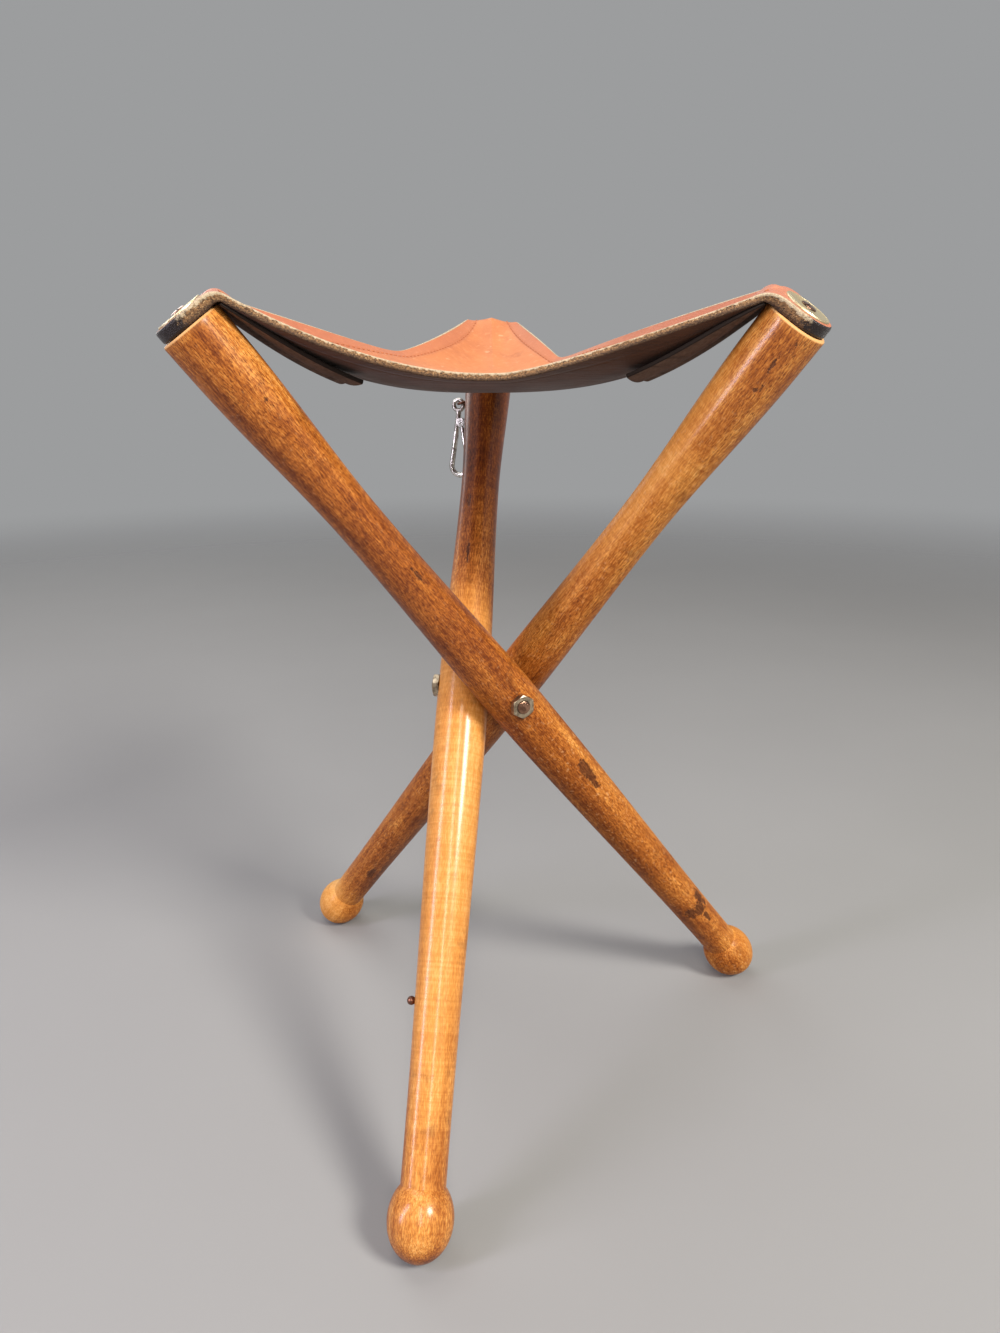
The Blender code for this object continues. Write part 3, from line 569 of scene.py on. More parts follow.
class Leg:
    """The place of one leg: its bolt arm, its pivot and its own frame, X along the arm and Z up the leg."""

    def __init__(self, side):
        joint = JOINTS[f"fold_{side}"]
        self.side = side
        self.pivot = Vector(joint["pos_m"])
        self.arm = -Vector(joint["axis"])
        self.lean = Vector((self.arm.y, -self.arm.x, 0))
        self.axis = self.lean * math.sin(LEG_TILT) + UP * math.cos(LEG_TILT)
        turn = Matrix((self.arm, self.axis.cross(self.arm), self.axis)).transposed()
        self.place = Matrix.Translation(self.pivot) @ turn.to_4x4()

    def at(self, height):
        return self.pivot + self.axis * height


LEGS = {side: Leg(side) for side in SIDES}
ARM_OFFSET = math.hypot(LEGS["left"].pivot.x, LEGS["left"].pivot.y)
HUB = Vector((0, 0, LEGS["left"].pivot.z))
print("hub height", round(HUB.z, 4), "arm offset", round(ARM_OFFSET, 5))


# %% [markdown]
# ## Helpers for pieces
#
# Every finished piece is a plain mesh at the origin, with its place in its points. One helper links it and
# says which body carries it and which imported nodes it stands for. The others write measures on its points
# for the finishes to read, shade it smooth up to an angle and give it its finish.


# %% Pieces and their measures
def put(name, mesh, body, slot, *nodes):
    """Links a finished mesh as a piece that rides on a body and stands for CAD nodes."""
    made = bpy.data.objects.new(name, mesh)
    bpy.context.scene.collection.objects.link(made)
    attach(made, body)
    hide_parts(*nodes)
    return made


def note(mesh, name, values, kind="FLOAT"):
    """Writes one number or vector for every vertex."""
    store = mesh.attributes.new(name, kind, "POINT")
    key = "vector" if kind == "FLOAT_VECTOR" else "value"
    store.data.foreach_set(key, np.asarray(values, np.float32).ravel())


def corners_of(mesh):
    places = np.empty(len(mesh.vertices) * 3)
    mesh.vertices.foreach_get("co", places)
    return places.reshape(-1, 3)


def mesh_from(shape, name, finish=None, sharp=35):
    """A mesh from a bmesh, its normals out, shaded smooth up to an angle in degrees."""
    bmesh.ops.recalc_face_normals(shape, faces=shape.faces)
    mesh = bpy.data.meshes.new(name)
    shape.to_mesh(mesh)
    shape.free()
    mesh.shade_smooth()
    mesh.set_sharp_from_angle(angle=math.radians(sharp))
    if finish:
        mesh.materials.append(finish)
    return mesh


def dressed(mesh, finish):
    """Gives a mesh one finish in place of those of its tools."""
    mesh.materials.clear()
    mesh.materials.append(finish)
    return mesh


# %% [markdown]
# ## Turned shapes and bent bars
#
# Most small parts of the stool were turned or bent. A turned shape is an outline of radius and height
# pairs, swept round Z, and a bar is a ring of points that is carried along a path. Blender's Screw
# modifier and bevelled curves make such shapes too, but the cuts that follow need ends that close
# exactly, and a bmesh gives that.


# %% Lathe and tube
def lathe(outline, sides, place=Matrix.Identity(4)):
    """A solid turned about Z from (radius, height) pairs, top to bottom, both ends on the axis."""
    shape = bmesh.new()
    rings = []
    for radius, height in outline:
        if radius == 0:
            rings.append([shape.verts.new(place @ Vector((0, 0, height)))] * sides)
            continue
        turns = [2 * math.pi * side / sides for side in range(sides)]
        ring = [Vector((radius * math.cos(turn), radius * math.sin(turn), height)) for turn in turns]
        rings.append([shape.verts.new(place @ point) for point in ring])
    for upper, lower in zip(rings, rings[1:]):
        for side in range(sides):
            after = (side + 1) % sides
            loop = dict.fromkeys((upper[side], lower[side], lower[after], upper[after]))
            shape.faces.new(list(loop))
    return shape


def tube(points, radii, sides, closed=False, place=Matrix.Identity(4)):
    """A round bar along points of the XZ plane, with domed ends where it is open."""
    shape = bmesh.new()
    count = len(points)
    rings = []
    for index, point in enumerate(points):
        before = points[index - 1] if closed or index else point
        after = points[(index + 1) % count] if closed or index + 1 < count else point
        along = (after - before).normalized()
        across = Vector((0, 1, 0)).cross(along)
        ring = []
        for side in range(sides):
            angle = 2 * math.pi * side / sides
            offset = across * math.cos(angle) + Vector((0, 1, 0)) * math.sin(angle)
            ring.append(shape.verts.new(place @ (point + offset * radii[index])))
        rings.append(ring)
    pairs = list(zip(rings, rings[1:]))
    if closed:
        pairs.append((rings[-1], rings[0]))
    else:
        shape.faces.new(rings[0])
        shape.faces.new(rings[-1])
    for first, second in pairs:
        for side in range(sides):
            after = (side + 1) % sides
            shape.faces.new((first[side], second[side], second[after], first[after]))
    return shape


def rod_outline(radius, low, high):
    """A plain rod's outline for the lathe."""
    return [(0, high), (radius, high), (radius, low), (0, low)]


def dome(radius, top, height, count=9):
    """A rounded end from its middle down to its rim."""
    turns = np.linspace(0, math.pi / 2, count)
    return [(radius * math.sin(t) if t else 0, top - height * (1 - math.cos(t))) for t in turns]


def mirrored(upper_half):
    """The lower half of an outline, from its upper half."""
    return [(radius, -height) for radius, height in reversed(upper_half)]


print("points of a dome:", len(dome(1, 1, 1)))

# %% [markdown]
# ## Cut meshes and grown meshes
#
# Holes, slots and brazed joints are Boolean modifiers on a helper object, and what repeats or follows a
# rule is a Geometry Nodes modifier. Both are read back as a plain mesh from the evaluated object, and the
# helper is removed. A node tree's sizes have names for the reader, but a modifier knows them by their
# identifiers.


# %% Cutting and growing
def carved(mesh, steps, sharp=35):
    """Joins or cuts meshes into one, with one Boolean for each (operation, other mesh)."""
    body = bpy.data.objects.new("carved", mesh)
    bpy.context.scene.collection.objects.link(body)
    others = []
    for operation, other in steps:
        tool = bpy.data.objects.new("tool", other)
        bpy.context.scene.collection.objects.link(tool)
        modifier = body.modifiers.new(operation, "BOOLEAN")
        modifier.operation = operation
        modifier.solver = "EXACT"
        modifier.object = tool
        others.append(tool)
    ready = body.evaluated_get(bpy.context.evaluated_depsgraph_get())
    result = bpy.data.meshes.new_from_object(ready)
    for thing in [body] + others:
        bpy.data.objects.remove(thing)
    result.shade_smooth()
    result.set_sharp_from_angle(angle=math.radians(sharp))
    return result


def grown(tree, sizes, base=None):
    """Runs a node tree with named sizes, on a mesh if one is given, and gives the result as a plain mesh."""
    carrier = bpy.data.objects.new("carrier", base or bpy.data.meshes.new("carrier"))
    bpy.context.scene.collection.objects.link(carrier)
    modifier = carrier.modifiers.new("grown", "NODES")
    modifier.node_group = tree
    sockets = {item.name: item.identifier for item in tree.interface.items_tree if item.in_out == "INPUT"}
    for name, value in sizes.items():
        modifier[sockets[name]] = value
    ready = carrier.evaluated_get(bpy.context.evaluated_depsgraph_get())
    mesh = bpy.data.meshes.new_from_object(ready)
    carrier.modifiers.remove(modifier)
    bpy.data.objects.remove(carrier)
    return mesh


# %% [markdown]
# All node trees of this lesson begin and end alike: named sizes and a finish go in, and at the end the
# instances become plain mesh with that finish.


# %% Beginning and end of a node tree
def node_tree(name, floats, integers=()):
    """A new geometry tree with named inputs, and the start and end of its recipe."""
    tree = bpy.data.node_groups.new(name, "GeometryNodeTree")
    tree.interface.new_socket("Geometry", in_out="INPUT", socket_type="NodeSocketGeometry")
    for label in floats:
        tree.interface.new_socket(label, in_out="INPUT", socket_type="NodeSocketFloat")
    for label in integers:
        tree.interface.new_socket(label, in_out="INPUT", socket_type="NodeSocketInt")
    tree.interface.new_socket("Finish", in_out="INPUT", socket_type="NodeSocketMaterial")
    tree.interface.new_socket("Geometry", in_out="OUTPUT", socket_type="NodeSocketGeometry")
    steps = Recipe(tree)
    start = steps.node("NodeGroupInput").outputs
    return steps, start, steps.node("NodeGroupOutput").inputs["Geometry"]


def end_tree(steps, geometry, finish, end):
    """Every tree ends by turning instances into plain mesh and giving it its finish."""
    plain = steps.node("GeometryNodeRealizeInstances", {"Geometry": geometry}).outputs[0]
    finished = steps.node("GeometryNodeSetMaterial", {"Geometry": plain, "Material": finish}).outputs[0]
    steps.feed(end, finished)


print("node groups so far:", len(bpy.data.node_groups))

# %% [markdown]
# ## The turned legs
#
# A leg comes off the lathe, so its whole shape is one rule: a radius for every height. That makes it a good
# case for Geometry Nodes: a plain cylinder is the blank, and the tree moves each ring of it to its height
# and radius. The lower rings follow the ball foot, the top rings round off the head, and the shaft between
# is a sum of smooth steps from ankle to belly, to waist, to head.

# %% Node tree of a leg
LEG_SIZES = {
    "Upper Length": UPPER_LENGTH,
    "Lower Length": LOWER_LENGTH,
    "Head Radius": HEAD_RADIUS,
    "Head Swell": HEAD_SWELL_HEIGHT,
    "Head Rounding": HEAD_ROUNDING,
    "Waist Radius": WAIST_RADIUS,
    "Waist Height": WAIST_HEIGHT,
    "Belly Radius": BELLY_RADIUS,
    "Belly Height": BELLY_HEIGHT,
    "Ankle Radius": ANKLE_RADIUS,
    "Ankle Height": ANKLE_HEIGHT,
    "Foot Radius": FOOT_RADIUS,
    "Foot Half Length": FOOT_HALF_LENGTH,
}
FOOT_SHARE = 0.2
HEAD_SHARE = 0.97

steps, size, end = node_tree("turned_leg", LEG_SIZES, ("Sides", "Rings"))
feeds = {"Vertices": size["Sides"], "Side Segments": size["Rings"], "Radius": 1.0, "Depth": 1.0}
blank = steps.node("GeometryNodeMeshCylinder", feeds, fill_type="TRIANGLE_FAN").outputs["Mesh"]
place = steps.node("GeometryNodeInputPosition").outputs[0]
part = steps.node("ShaderNodeSeparateXYZ", {0: place}).outputs
share = steps.math("ADD", part["Z"], 0.5)

foot_start = steps.math("ARCCOSINE", steps.math("DIVIDE", size["Ankle Radius"], size["Foot Radius"]))
foot_turn = steps.fit(share, 0.0, FOOT_SHARE, -math.pi / 2, foot_start, smooth=False)
foot_rise = steps.math("MULTIPLY", steps.math("SINE", foot_turn), size["Foot Half Length"])
foot_height = steps.math("SUBTRACT", foot_rise, size["Lower Length"])
foot_radius = steps.math("MULTIPLY", steps.math("COSINE", foot_turn), size["Foot Radius"])

shaft_top = steps.math("SUBTRACT", size["Upper Length"], size["Head Rounding"])
shaft_height = steps.fit(share, FOOT_SHARE, HEAD_SHARE, size["Ankle Height"], shaft_top, smooth=False)
shaft_radius = size["Ankle Radius"]
stations = (
    ("Ankle Radius", "Ankle Height", "Belly Radius", "Belly Height"),
    ("Belly Radius", "Belly Height", "Waist Radius", "Waist Height"),
    ("Waist Radius", "Waist Height", "Head Radius", "Head Swell"),
)
for thin, low, thick, high in stations:
    change = steps.math("SUBTRACT", size[thick], size[thin])
    step = steps.fit(shaft_height, size[low], size[high])
    shaft_radius = steps.math("ADD", shaft_radius, steps.math("MULTIPLY", change, step))

head_turn = steps.fit(share, HEAD_SHARE, 1.0, 0.0, math.pi / 2, smooth=False)
head_rise = steps.math("MULTIPLY", steps.math("SINE", head_turn), size["Head Rounding"])
head_height = steps.math("ADD", shaft_top, head_rise)
head_core = steps.math("SUBTRACT", size["Head Radius"], size["Head Rounding"])
head_bulge = steps.math("MULTIPLY", steps.math("COSINE", head_turn), size["Head Rounding"])
head_radius = steps.math("ADD", head_core, head_bulge)

is_foot = steps.math("LESS_THAN", share, FOOT_SHARE)
is_head = steps.math("GREATER_THAN", share, HEAD_SHARE)


def choose(steps, foot, shaft, head):
    """The foot's, the shaft's or the head's value, by the place of the ring."""
    upper = steps.node("GeometryNodeSwitch", {0: is_head, 1: shaft, 2: head}, input_type="FLOAT").outputs[0]
    return steps.node("GeometryNodeSwitch", {0: is_foot, 1: upper, 2: foot}, input_type="FLOAT").outputs[0]


ring_radius = choose(steps, foot_radius, shaft_radius, head_radius)
ring_height = choose(steps, foot_height, shaft_height, head_height)
out_x = steps.math("MULTIPLY", part["X"], ring_radius)
out_y = steps.math("MULTIPLY", part["Y"], ring_radius)
ring_place = steps.node("ShaderNodeCombineXYZ", {0: out_x, 1: out_y, 2: ring_height}).outputs[0]
moved = steps.node("GeometryNodeSetPosition", {"Geometry": blank, "Position": ring_place}).outputs[0]
closed = steps.node("GeometryNodeMergeByDistance", {"Geometry": moved, "Distance": 1e-6}).outputs[0]
end_tree(steps, closed, size["Finish"], end)
TURNED_LEG = steps.tree
print("leg tree nodes:", len(TURNED_LEG.nodes))

# %% [markdown]
# Each leg then gets its own history. Its tone says where the stain has worn golden and where it is still
# dark; on the back leg the dark upper end is partly painted shade under the seat. Its wear says where the
# varnish is gone. Both are given as pairs of a height up the leg and a value there. On top of the tone the
# side that faces up is painted lighter and the side that faces down darker, as painted light and shade.
# The marks are the dents that show in the photograph. All of this could be painted by hand, but a few
# numbers for each leg are easier to correct.

# %% Leg histories
LEG_TONES_AND_SHADE = {
    "left": (
        (-0.318, 0.2), (-0.31, 0.7), (-0.26, 0.58), (0, 0.48), (0.12, 0.4), (0.22, 0.52), (0.27, 0.58),
    ),
    "right": (
        (-0.318, 0.2), (-0.31, 0.8), (-0.275, 0.76), (-0.25, 0.5), (0, 0.56), (0.18, 0.76), (0.27, 0.6),
    ),
    # On the back leg the dark upper end is partly the stain and partly painted shade under the seat
    "back": (
        (-0.318, 0.2), (-0.309, 0.58), (-0.2, 0.69), (-0.1, 0.74), (0.03, 0.72), (0.09, 0.52), (0.16, 0.16),
    ),
}
# How strongly a leg is painted lighter on the side that faces up and darker on the side that faces down:
# painted light and shade
SIDE_LIGHT_AND_SHADE = 0.1
LEG_WEAR = {
    "left": (
        (-0.32, 0.75), (-0.25, 0.4), (-0.15, 0.7), (-0.06, 0.8), (0.0, 0.35), (0.1, 0.12), (0.27, 0.22),
    ),
    "right": ((-0.32, 0.6), (-0.25, 0.3), (0.0, 0.4), (0.18, 0.45), (0.235, 0.15), (0.27, 0.05)),
    "back": ((-0.32, 0.2), (-0.28, 0.0), (0.0, 0.0), (0.27, 0.05)),
}
# Height up the leg, degrees round it, half length and half width in metres, and depth
LEG_MARKS = {
    "left": (
        (-0.0650, 17, 0.0050, 0.0036, 0.0006),
        (-0.0735, 18, 0.0070, 0.0034, 0.0007),
        (-0.0820, 14, 0.0045, 0.0022, 0.0005),
        (-0.2290, -22, 0.0050, 0.0042, 0.0005),
        (-0.2310, 12, 0.0055, 0.0052, 0.0005),
        (-0.2250, 40, 0.0090, 0.0035, 0.0004),
        (-0.2420, 16, 0.0050, 0.0020, 0.0006),
        (0.2230, 8, 0.0024, 0.0010, 0.0002),
        (0.1050, 16, 0.0050, 0.0010, 0.0002),
    ),
    "right": (
        (0.2510, -150, 0.0034, 0.0010, 0.0003),
        (0.2405, -140, 0.0013, 0.0011, 0.0003),
        (0.2370, -147, 0.0010, 0.0009, 0.0002),
        (0.2625, -138, 0.0013, 0.0010, 0.0002),
        (-0.2300, -140, 0.0070, 0.0026, 0.0004),
    ),
    "back": (
        (0.1290, 68, 0.0050, 0.0016, 0.0003),
        (0.0900, 80, 0.0080, 0.0012, 0.0002),
    ),
}
print("marks:", {side: len(marks) for side, marks in LEG_MARKS.items()})

# %% [markdown]
# A mark is strongest in its middle and fades out like a bell curve: its stain has a firm edge, and its
# dent is softer. Then the leg is made: the node tree turns the blank, the dents go in, and two drills cut
# the bore for the bolt and the flat seat of the nut. The foot is cut flat where it meets the floor.

# %% Making a leg
LEG_SIDES = 72
LEG_RINGS = 240
DRILL_SIDES = 48
STAIN_FALL = 0.7
STAIN_EDGE = 1.5
DENT_FALL = 1.2
GRAIN_START = np.array([0.0, 0.11, 0.0])
GRAIN_STEP = np.array([0.37, 0.0, 0.53])


def along_leg(pairs, heights):
    """Reads a value that is given at a few heights, evenly graded between them."""
    levels, values = zip(*pairs)
    return np.interp(heights, levels, values)


def leg_marks(side, local):
    """How strongly each point of a leg is marked, and how far it is dented."""
    stain_here = np.zeros(len(local))
    dent_here = np.zeros(len(local))
    turn = np.degrees(np.arctan2(local[:, 1], local[:, 0]))
    radius = np.hypot(local[:, 0], local[:, 1])
    for height, angle, length, width, depth in LEG_MARKS[side]:
        swing = (turn - angle + 180) % 360 - 180
        off = ((local[:, 2] - height) / length) ** 2 + (np.radians(swing) * radius / width) ** 2
        stain_here = np.maximum(stain_here, np.exp(-STAIN_FALL * off ** STAIN_EDGE))
        dent_here = np.maximum(dent_here, depth * np.exp(-DENT_FALL * off))
    return stain_here, dent_here


def make_leg(leg):
    """Turns a leg, dents it, drills it and stands it in its place."""
    sizes = dict(LEG_SIZES, Sides=LEG_SIDES, Rings=LEG_RINGS, Finish=wood.material)
    blank = grown(TURNED_LEG, sizes)
    local = corners_of(blank)
    dents = leg_marks(leg.side, local)[1]
    radius = np.maximum(np.hypot(local[:, 0], local[:, 1]), 1e-6)
    local[:, :2] *= (1 - dents / radius)[:, None]
    blank.vertices.foreach_set("co", local.ravel())
    along_arm = Matrix.Rotation(math.pi / 2, 4, "Y")
    reach = 2 * BELLY_RADIUS
    flat = BELLY_RADIUS - SPOT_DEPTH
    bore = [(0, reach), (ARM_RADIUS + GAP, reach), (ARM_RADIUS + GAP, -reach), (0, -reach)]
    recess = [(0, reach), (SPOT_RADIUS, reach), (SPOT_RADIUS, flat), (0, flat)]
    turned = [lathe(outline, DRILL_SIDES, along_arm) for outline in (bore, recess)]
    drills = [("DIFFERENCE", mesh_from(drill, "drill", wood.material)) for drill in turned]
    mesh = carved(blank, drills, sharp=40)
    local = corners_of(mesh)
    heights = local[:, 2]
    own_grain = GRAIN_START + GRAIN_STEP * SIDES.index(leg.side)
    note(mesh, "grain", local + own_grain, "FLOAT_VECTOR")
    # Painted light and shade: the tone is raised on the side of the leg that faces up and lowered on the
    # side that faces down
    upward = local[:, :2] @ np.array([UP.dot(leg.place.col[0].xyz), UP.dot(leg.place.col[1].xyz)])
    fade_and_side_shade = SIDE_LIGHT_AND_SHADE * upward / (np.hypot(local[:, 0], local[:, 1]) + 1e-4) / math.sin(LEG_TILT)
    note(mesh, "tone", along_leg(LEG_TONES_AND_SHADE[leg.side], heights) + fade_and_side_shade)
    note(mesh, "worn", along_leg(LEG_WEAR[leg.side], heights))
    note(mesh, "stain", leg_marks(leg.side, local)[0])
    rim = np.clip((heights - UPPER_LENGTH + HEAD_ROUNDING) / (HEAD_ROUNDING / 2), 0, 1)
    note(mesh, "bare", rim)
    mesh.transform(leg.place)
    standing = corners_of(mesh)
    standing[:, 2] = np.maximum(standing[:, 2], 0)
    mesh.vertices.foreach_set("co", standing.ravel())
    mesh.name = f"turned_leg_{leg.side}"
    node = f"leg_{leg.side}"
    return put(mesh.name, mesh, node, "stained_beech", node)


leg_pieces = {side: make_leg(leg) for side, leg in LEGS.items()}
for made in leg_pieces.values():
    print(made.name, len(made.data.polygons), "faces")

# %% [markdown]
# ## The seat
#
# The hide hangs from three leg ends. Its hems are taut, each with its own low point, and the middle has
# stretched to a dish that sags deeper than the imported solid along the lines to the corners. A cloth
# simulation would find a sag of its own, so the height of every point follows from a formula that was
# matched to the photograph. Each third is drawn by itself and then cut at the crest: the tab stays on its
# leg, and the wing turns with the corner when the stool folds.

# %% The shape of the hide
LEATHER = 0.0040
PATCH = 0.0022
SEAT_SAG = 0.0479
HEM_ROUNDING = 0.009
RIDGE_POWER = 2.6
TROUGH_POWER = 2.2
CREST_BLEND = 0.008
HEM_OVERSHOOT = 1.15
CREST_HALF_WIDTH = 0.0175
HEM_MIDDLE = 0.075
TAB_RADIUS = 0.0152
PATCH_START = 0.088
PATCH_HALF_WIDTH = 0.0235
PATCH_HANG = 0.003
PATCH_INSET = 0.0008
STACK = GAP + PATCH + GAP + LEATHER
THIRD = math.radians(60)
HEAD_REACH = UPPER_LENGTH * math.sin(LEG_TILT)
CORNER_REACH = math.hypot(HEAD_REACH, ARM_OFFSET)
# For each hem: the height of its lowest point above the dish, and how far from its middle that lies towards
# its second corner. Then for each end: the corner, the height there and how the hem bends on the way.
SEAT_HEMS = {
    "front": (0.0065, 0.0, ("left", 0.042, 1.75), ("right", 0.041, 1.15)),
    "left": (0.0210, 0.010, ("left", 0.046, 1.15), ("back", 0.0455, 1.05)),
    "right": (0.0170, 0.045, ("right", 0.048, 1.05), ("back", 0.0440, 0.75)),
}
# The hems at the two sides of each corner, anticlockwise side first
CORNER_HEMS = {"left": ("front", "left"), "right": ("right", "front"), "back": ("left", "right")}


def ease(share):
    return share * share * (3 - 2 * share)


class Third:
    """One third of the seat. A point is given out towards its corner, to the side, and in depth."""

    def __init__(self, leg):
        self.leg = leg
        self.hems = [self.seen_from_here(*SEAT_HEMS[name]) for name in CORNER_HEMS[leg.side]]
        top = leg.at(UPPER_LENGTH)
        self.out = Vector((top.x, top.y, 0)).normalized()
        self.side = UP.cross(self.out)
        self.tab_middle = leg.at(UPPER_LENGTH + STACK)
        self.tab_out = self.tab_middle.dot(self.out)
        self.crest_out = CORNER_REACH - HEAD_RADIUS * math.cos(LEG_TILT)
        self.crest = top.z + HEAD_RADIUS * math.sin(LEG_TILT) + STACK / math.cos(LEG_TILT)
        self.middle = self.crest - SEAT_SAG
        self.hem_end = self.crest_out * math.sin(THIRD) - CREST_HALF_WIDTH * math.cos(THIRD)
        hem_depth = self.crest_out * math.cos(THIRD) + CREST_HALF_WIDTH * math.sin(THIRD)
        self.hem_bend = (hem_depth - HEM_MIDDLE) / self.hem_end ** 2

    def seen_from_here(self, lift, low, first, second):
        """A hem's numbers with this corner's end first."""
        if first[0] == self.leg.side:
            return (lift, -low, *first[1:], *second[1:])
        return (lift, low, *second[1:], *first[1:])

    def hem_height(self, along, side):
        """The hem's height above the dish, by its length from the middle of the seat's side."""
        lift, low, top, bend, far_top, far_bend = (np.where(side > 0, *pair) for pair in zip(*self.hems))
        climbed = np.hypot(along - low, HEM_ROUNDING) - HEM_ROUNDING
        near = climbed / (np.hypot(self.hem_end - low, HEM_ROUNDING) - HEM_ROUNDING)
        far = climbed / (np.hypot(self.hem_end + low, HEM_ROUNDING) - HEM_ROUNDING)
        near_rise = (top - lift) * near ** bend
        far_rise = (far_top - lift) * far ** far_bend
        return lift + np.where(along > low, near_rise, far_rise)

    def height(self, out, side):
        """The height of the top face: the slung hide, and the tab's slope beyond the crest."""
        apart = np.abs(side)
        along = np.abs(out * math.sin(THIRD) - apart * math.cos(THIRD))
        depth = out * math.cos(THIRD) + apart * math.sin(THIRD)
        ridge_depth = along / math.tan(THIRD)
        hem_depth = HEM_MIDDLE + self.hem_bend * along ** 2
        across = np.clip((depth - ridge_depth) / (hem_depth - ridge_depth), 0, HEM_OVERSHOOT)
        ridge = SEAT_SAG * (along / (self.crest_out * math.sin(THIRD))) ** RIDGE_POWER
        hem = self.hem_height(along, side)
        sling = self.middle + ridge + (hem - ridge) * across ** TROUGH_POWER
        lean_out = self.out.dot(self.leg.lean)
        lean_side = self.side.dot(self.leg.lean)
        from_tab = out * lean_out + side * lean_side - self.tab_middle.dot(self.leg.lean)
        tab = self.tab_middle.z - math.tan(LEG_TILT) * from_tab
        rounding = np.maximum(CREST_BLEND - np.abs(sling - tab), 0) ** 2 / (4 * CREST_BLEND)
        return np.minimum(sling, tab) - rounding

    def surface(self, out, side, depth):
        """Points at a depth under the top face, and the top face's normals there."""
        nudge = 1e-5
        fall_out = (self.height(out + nudge, side) - self.height(out - nudge, side)) / (2 * nudge)
        fall_side = (self.height(out, side + nudge) - self.height(out, side - nudge)) / (2 * nudge)
        ways = np.array([self.out, self.side, UP])
        normals = np.stack([-fall_out, -fall_side, np.ones_like(out)], -1) @ ways
        normals /= np.linalg.norm(normals, axis=-1, keepdims=True)
        points = np.stack([out, side, self.height(out, side)], -1) @ ways
        return points - normals * depth[..., None], normals

    def hem_point(self, along):
        """The hem's plan, by its length from the middle of the seat's side."""
        depth = HEM_MIDDLE + self.hem_bend * along ** 2
        out = depth * math.cos(THIRD) + along * math.sin(THIRD)
        return out, depth * math.sin(THIRD) - along * math.cos(THIRD)


THIRDS = {side: Third(leg) for side, leg in LEGS.items()}
print("crest height", round(THIRDS["left"].crest, 4), "dish", round(THIRDS["left"].middle, 4))

# %% [markdown]
# A row is a straight line in plan, from a point on the ridge to a point on the hem. Rows are close together
# in the dish and over the crest, where the hide bends most. Round the tab they fan out from the screw. A
# regular grid would cut the hem in steps, and rows that end on the hem keep it smooth.

# %% Rows of a third
WING_ROWS = 46
TAB_ROWS = 12
FAN_ROWS = 16
LAST_ROW = WING_ROWS + TAB_ROWS + FAN_ROWS
COLUMNS = 26
ROW_CROWDING = 0.82


def rows_of(third, start, strip=None):
    """Plan points where one half's rows begin and end, on the hide or a strip, from a start on the ridge."""
    spread = np.linspace(0, 1, WING_ROWS + 1)
    spread = spread - ROW_CROWDING * np.sin(2 * np.pi * spread) / (2 * np.pi)
    first = start / third.crest_out
    spread = first + (1 - first) * spread
    ridge = [(share * third.crest_out, 0.0) for share in spread]
    hem = [third.hem_point(share * third.hem_end) for share in spread]
    if strip:
        narrowing = (spread - first) / (1 - first)
        hem = [(out, strip + (CREST_HALF_WIDTH - strip) * n) for (out, _), n in zip(ridge, narrowing)]
    for step in range(1, TAB_ROWS + 1):
        share = step / TAB_ROWS
        out = third.crest_out + (third.tab_out - third.crest_out) * share
        ridge.append((out, 0.0))
        hem.append((out, CREST_HALF_WIDTH + (TAB_RADIUS - CREST_HALF_WIDTH) * ease(share)))
    for step in range(1, FAN_ROWS + 1):
        angle = math.pi / 2 * step / FAN_ROWS
        ridge.append((third.tab_out, 0.0))
        reach = TAB_RADIUS * math.cos(LEG_TILT) * math.sin(angle)
        hem.append((third.tab_out + reach, TAB_RADIUS * math.cos(angle)))
    return np.array(ridge), np.array(hem)


def measured_rows(ridge, hem):
    """Each row's heading, its length, and how much longer it is than a line square to the hem."""
    along = np.gradient(hem, axis=0)
    run = hem - ridge
    length = np.linalg.norm(run, axis=1)
    cross = np.abs(run[:, 0] * along[:, 1] - run[:, 1] * along[:, 0])
    slant = length * np.linalg.norm(along, axis=1) / np.maximum(cross, 1e-9)
    return run / length[:, None], length, slant


print("rows of a third:", len(rows_of(THIRDS["left"], 0.0)[0]))

# %% [markdown]
# Round the hem the hide turns over its cut edge and back along the underside. A section says how, once
# for all rows: along the top, over a small arris, down the cut, over the lower arris and back. With it a
# half of a ply becomes one grid of points. Solidify could thicken a single sheet, but it can't pare the
# leather thin at the crest, or tell the finish how deep a point lies.

# %% Section of a ply
COLUMN_CROWDING = 0.38
ARRIS = 0.0009
ARRIS_STEPS = 4
CUT_SHARES = (0.25, 0.5, 0.75)
TOP_COLUMNS = COLUMNS + ARRIS_STEPS + 1
MIDDLE_OF_CUT = TOP_COLUMNS + 1
PARING = 0.020
TAB_PLIES = 1 + (PATCH + GAP) / LEATHER


def section(thickness):
    """Points round a cut: share along the row, share of the arris, depth, and angle from the top face."""
    shares = np.linspace(0, 1, COLUMNS + 1)
    shares = shares * (1 - COLUMN_CROWDING + COLUMN_CROWDING * shares)
    angles = np.radians(np.linspace(0, 90, ARRIS_STEPS + 1))[1:]
    found = [(share, 0.0, 0.0, 0.0) for share in shares]
    found += [(1.0, math.sin(a), ARRIS * (1 - math.cos(a)), math.degrees(a)) for a in angles]
    for share in CUT_SHARES:
        found.append((1.0, 1.0, ARRIS + (thickness - 2 * ARRIS) * share, 90.0))
    for a in reversed(angles):
        found.append((1.0, math.sin(a), thickness - ARRIS * (1 - math.cos(a)), 180 - math.degrees(a)))
    found += [(share, 0.0, thickness, 180.0) for share in shares[::-1]]
    return np.array(found)


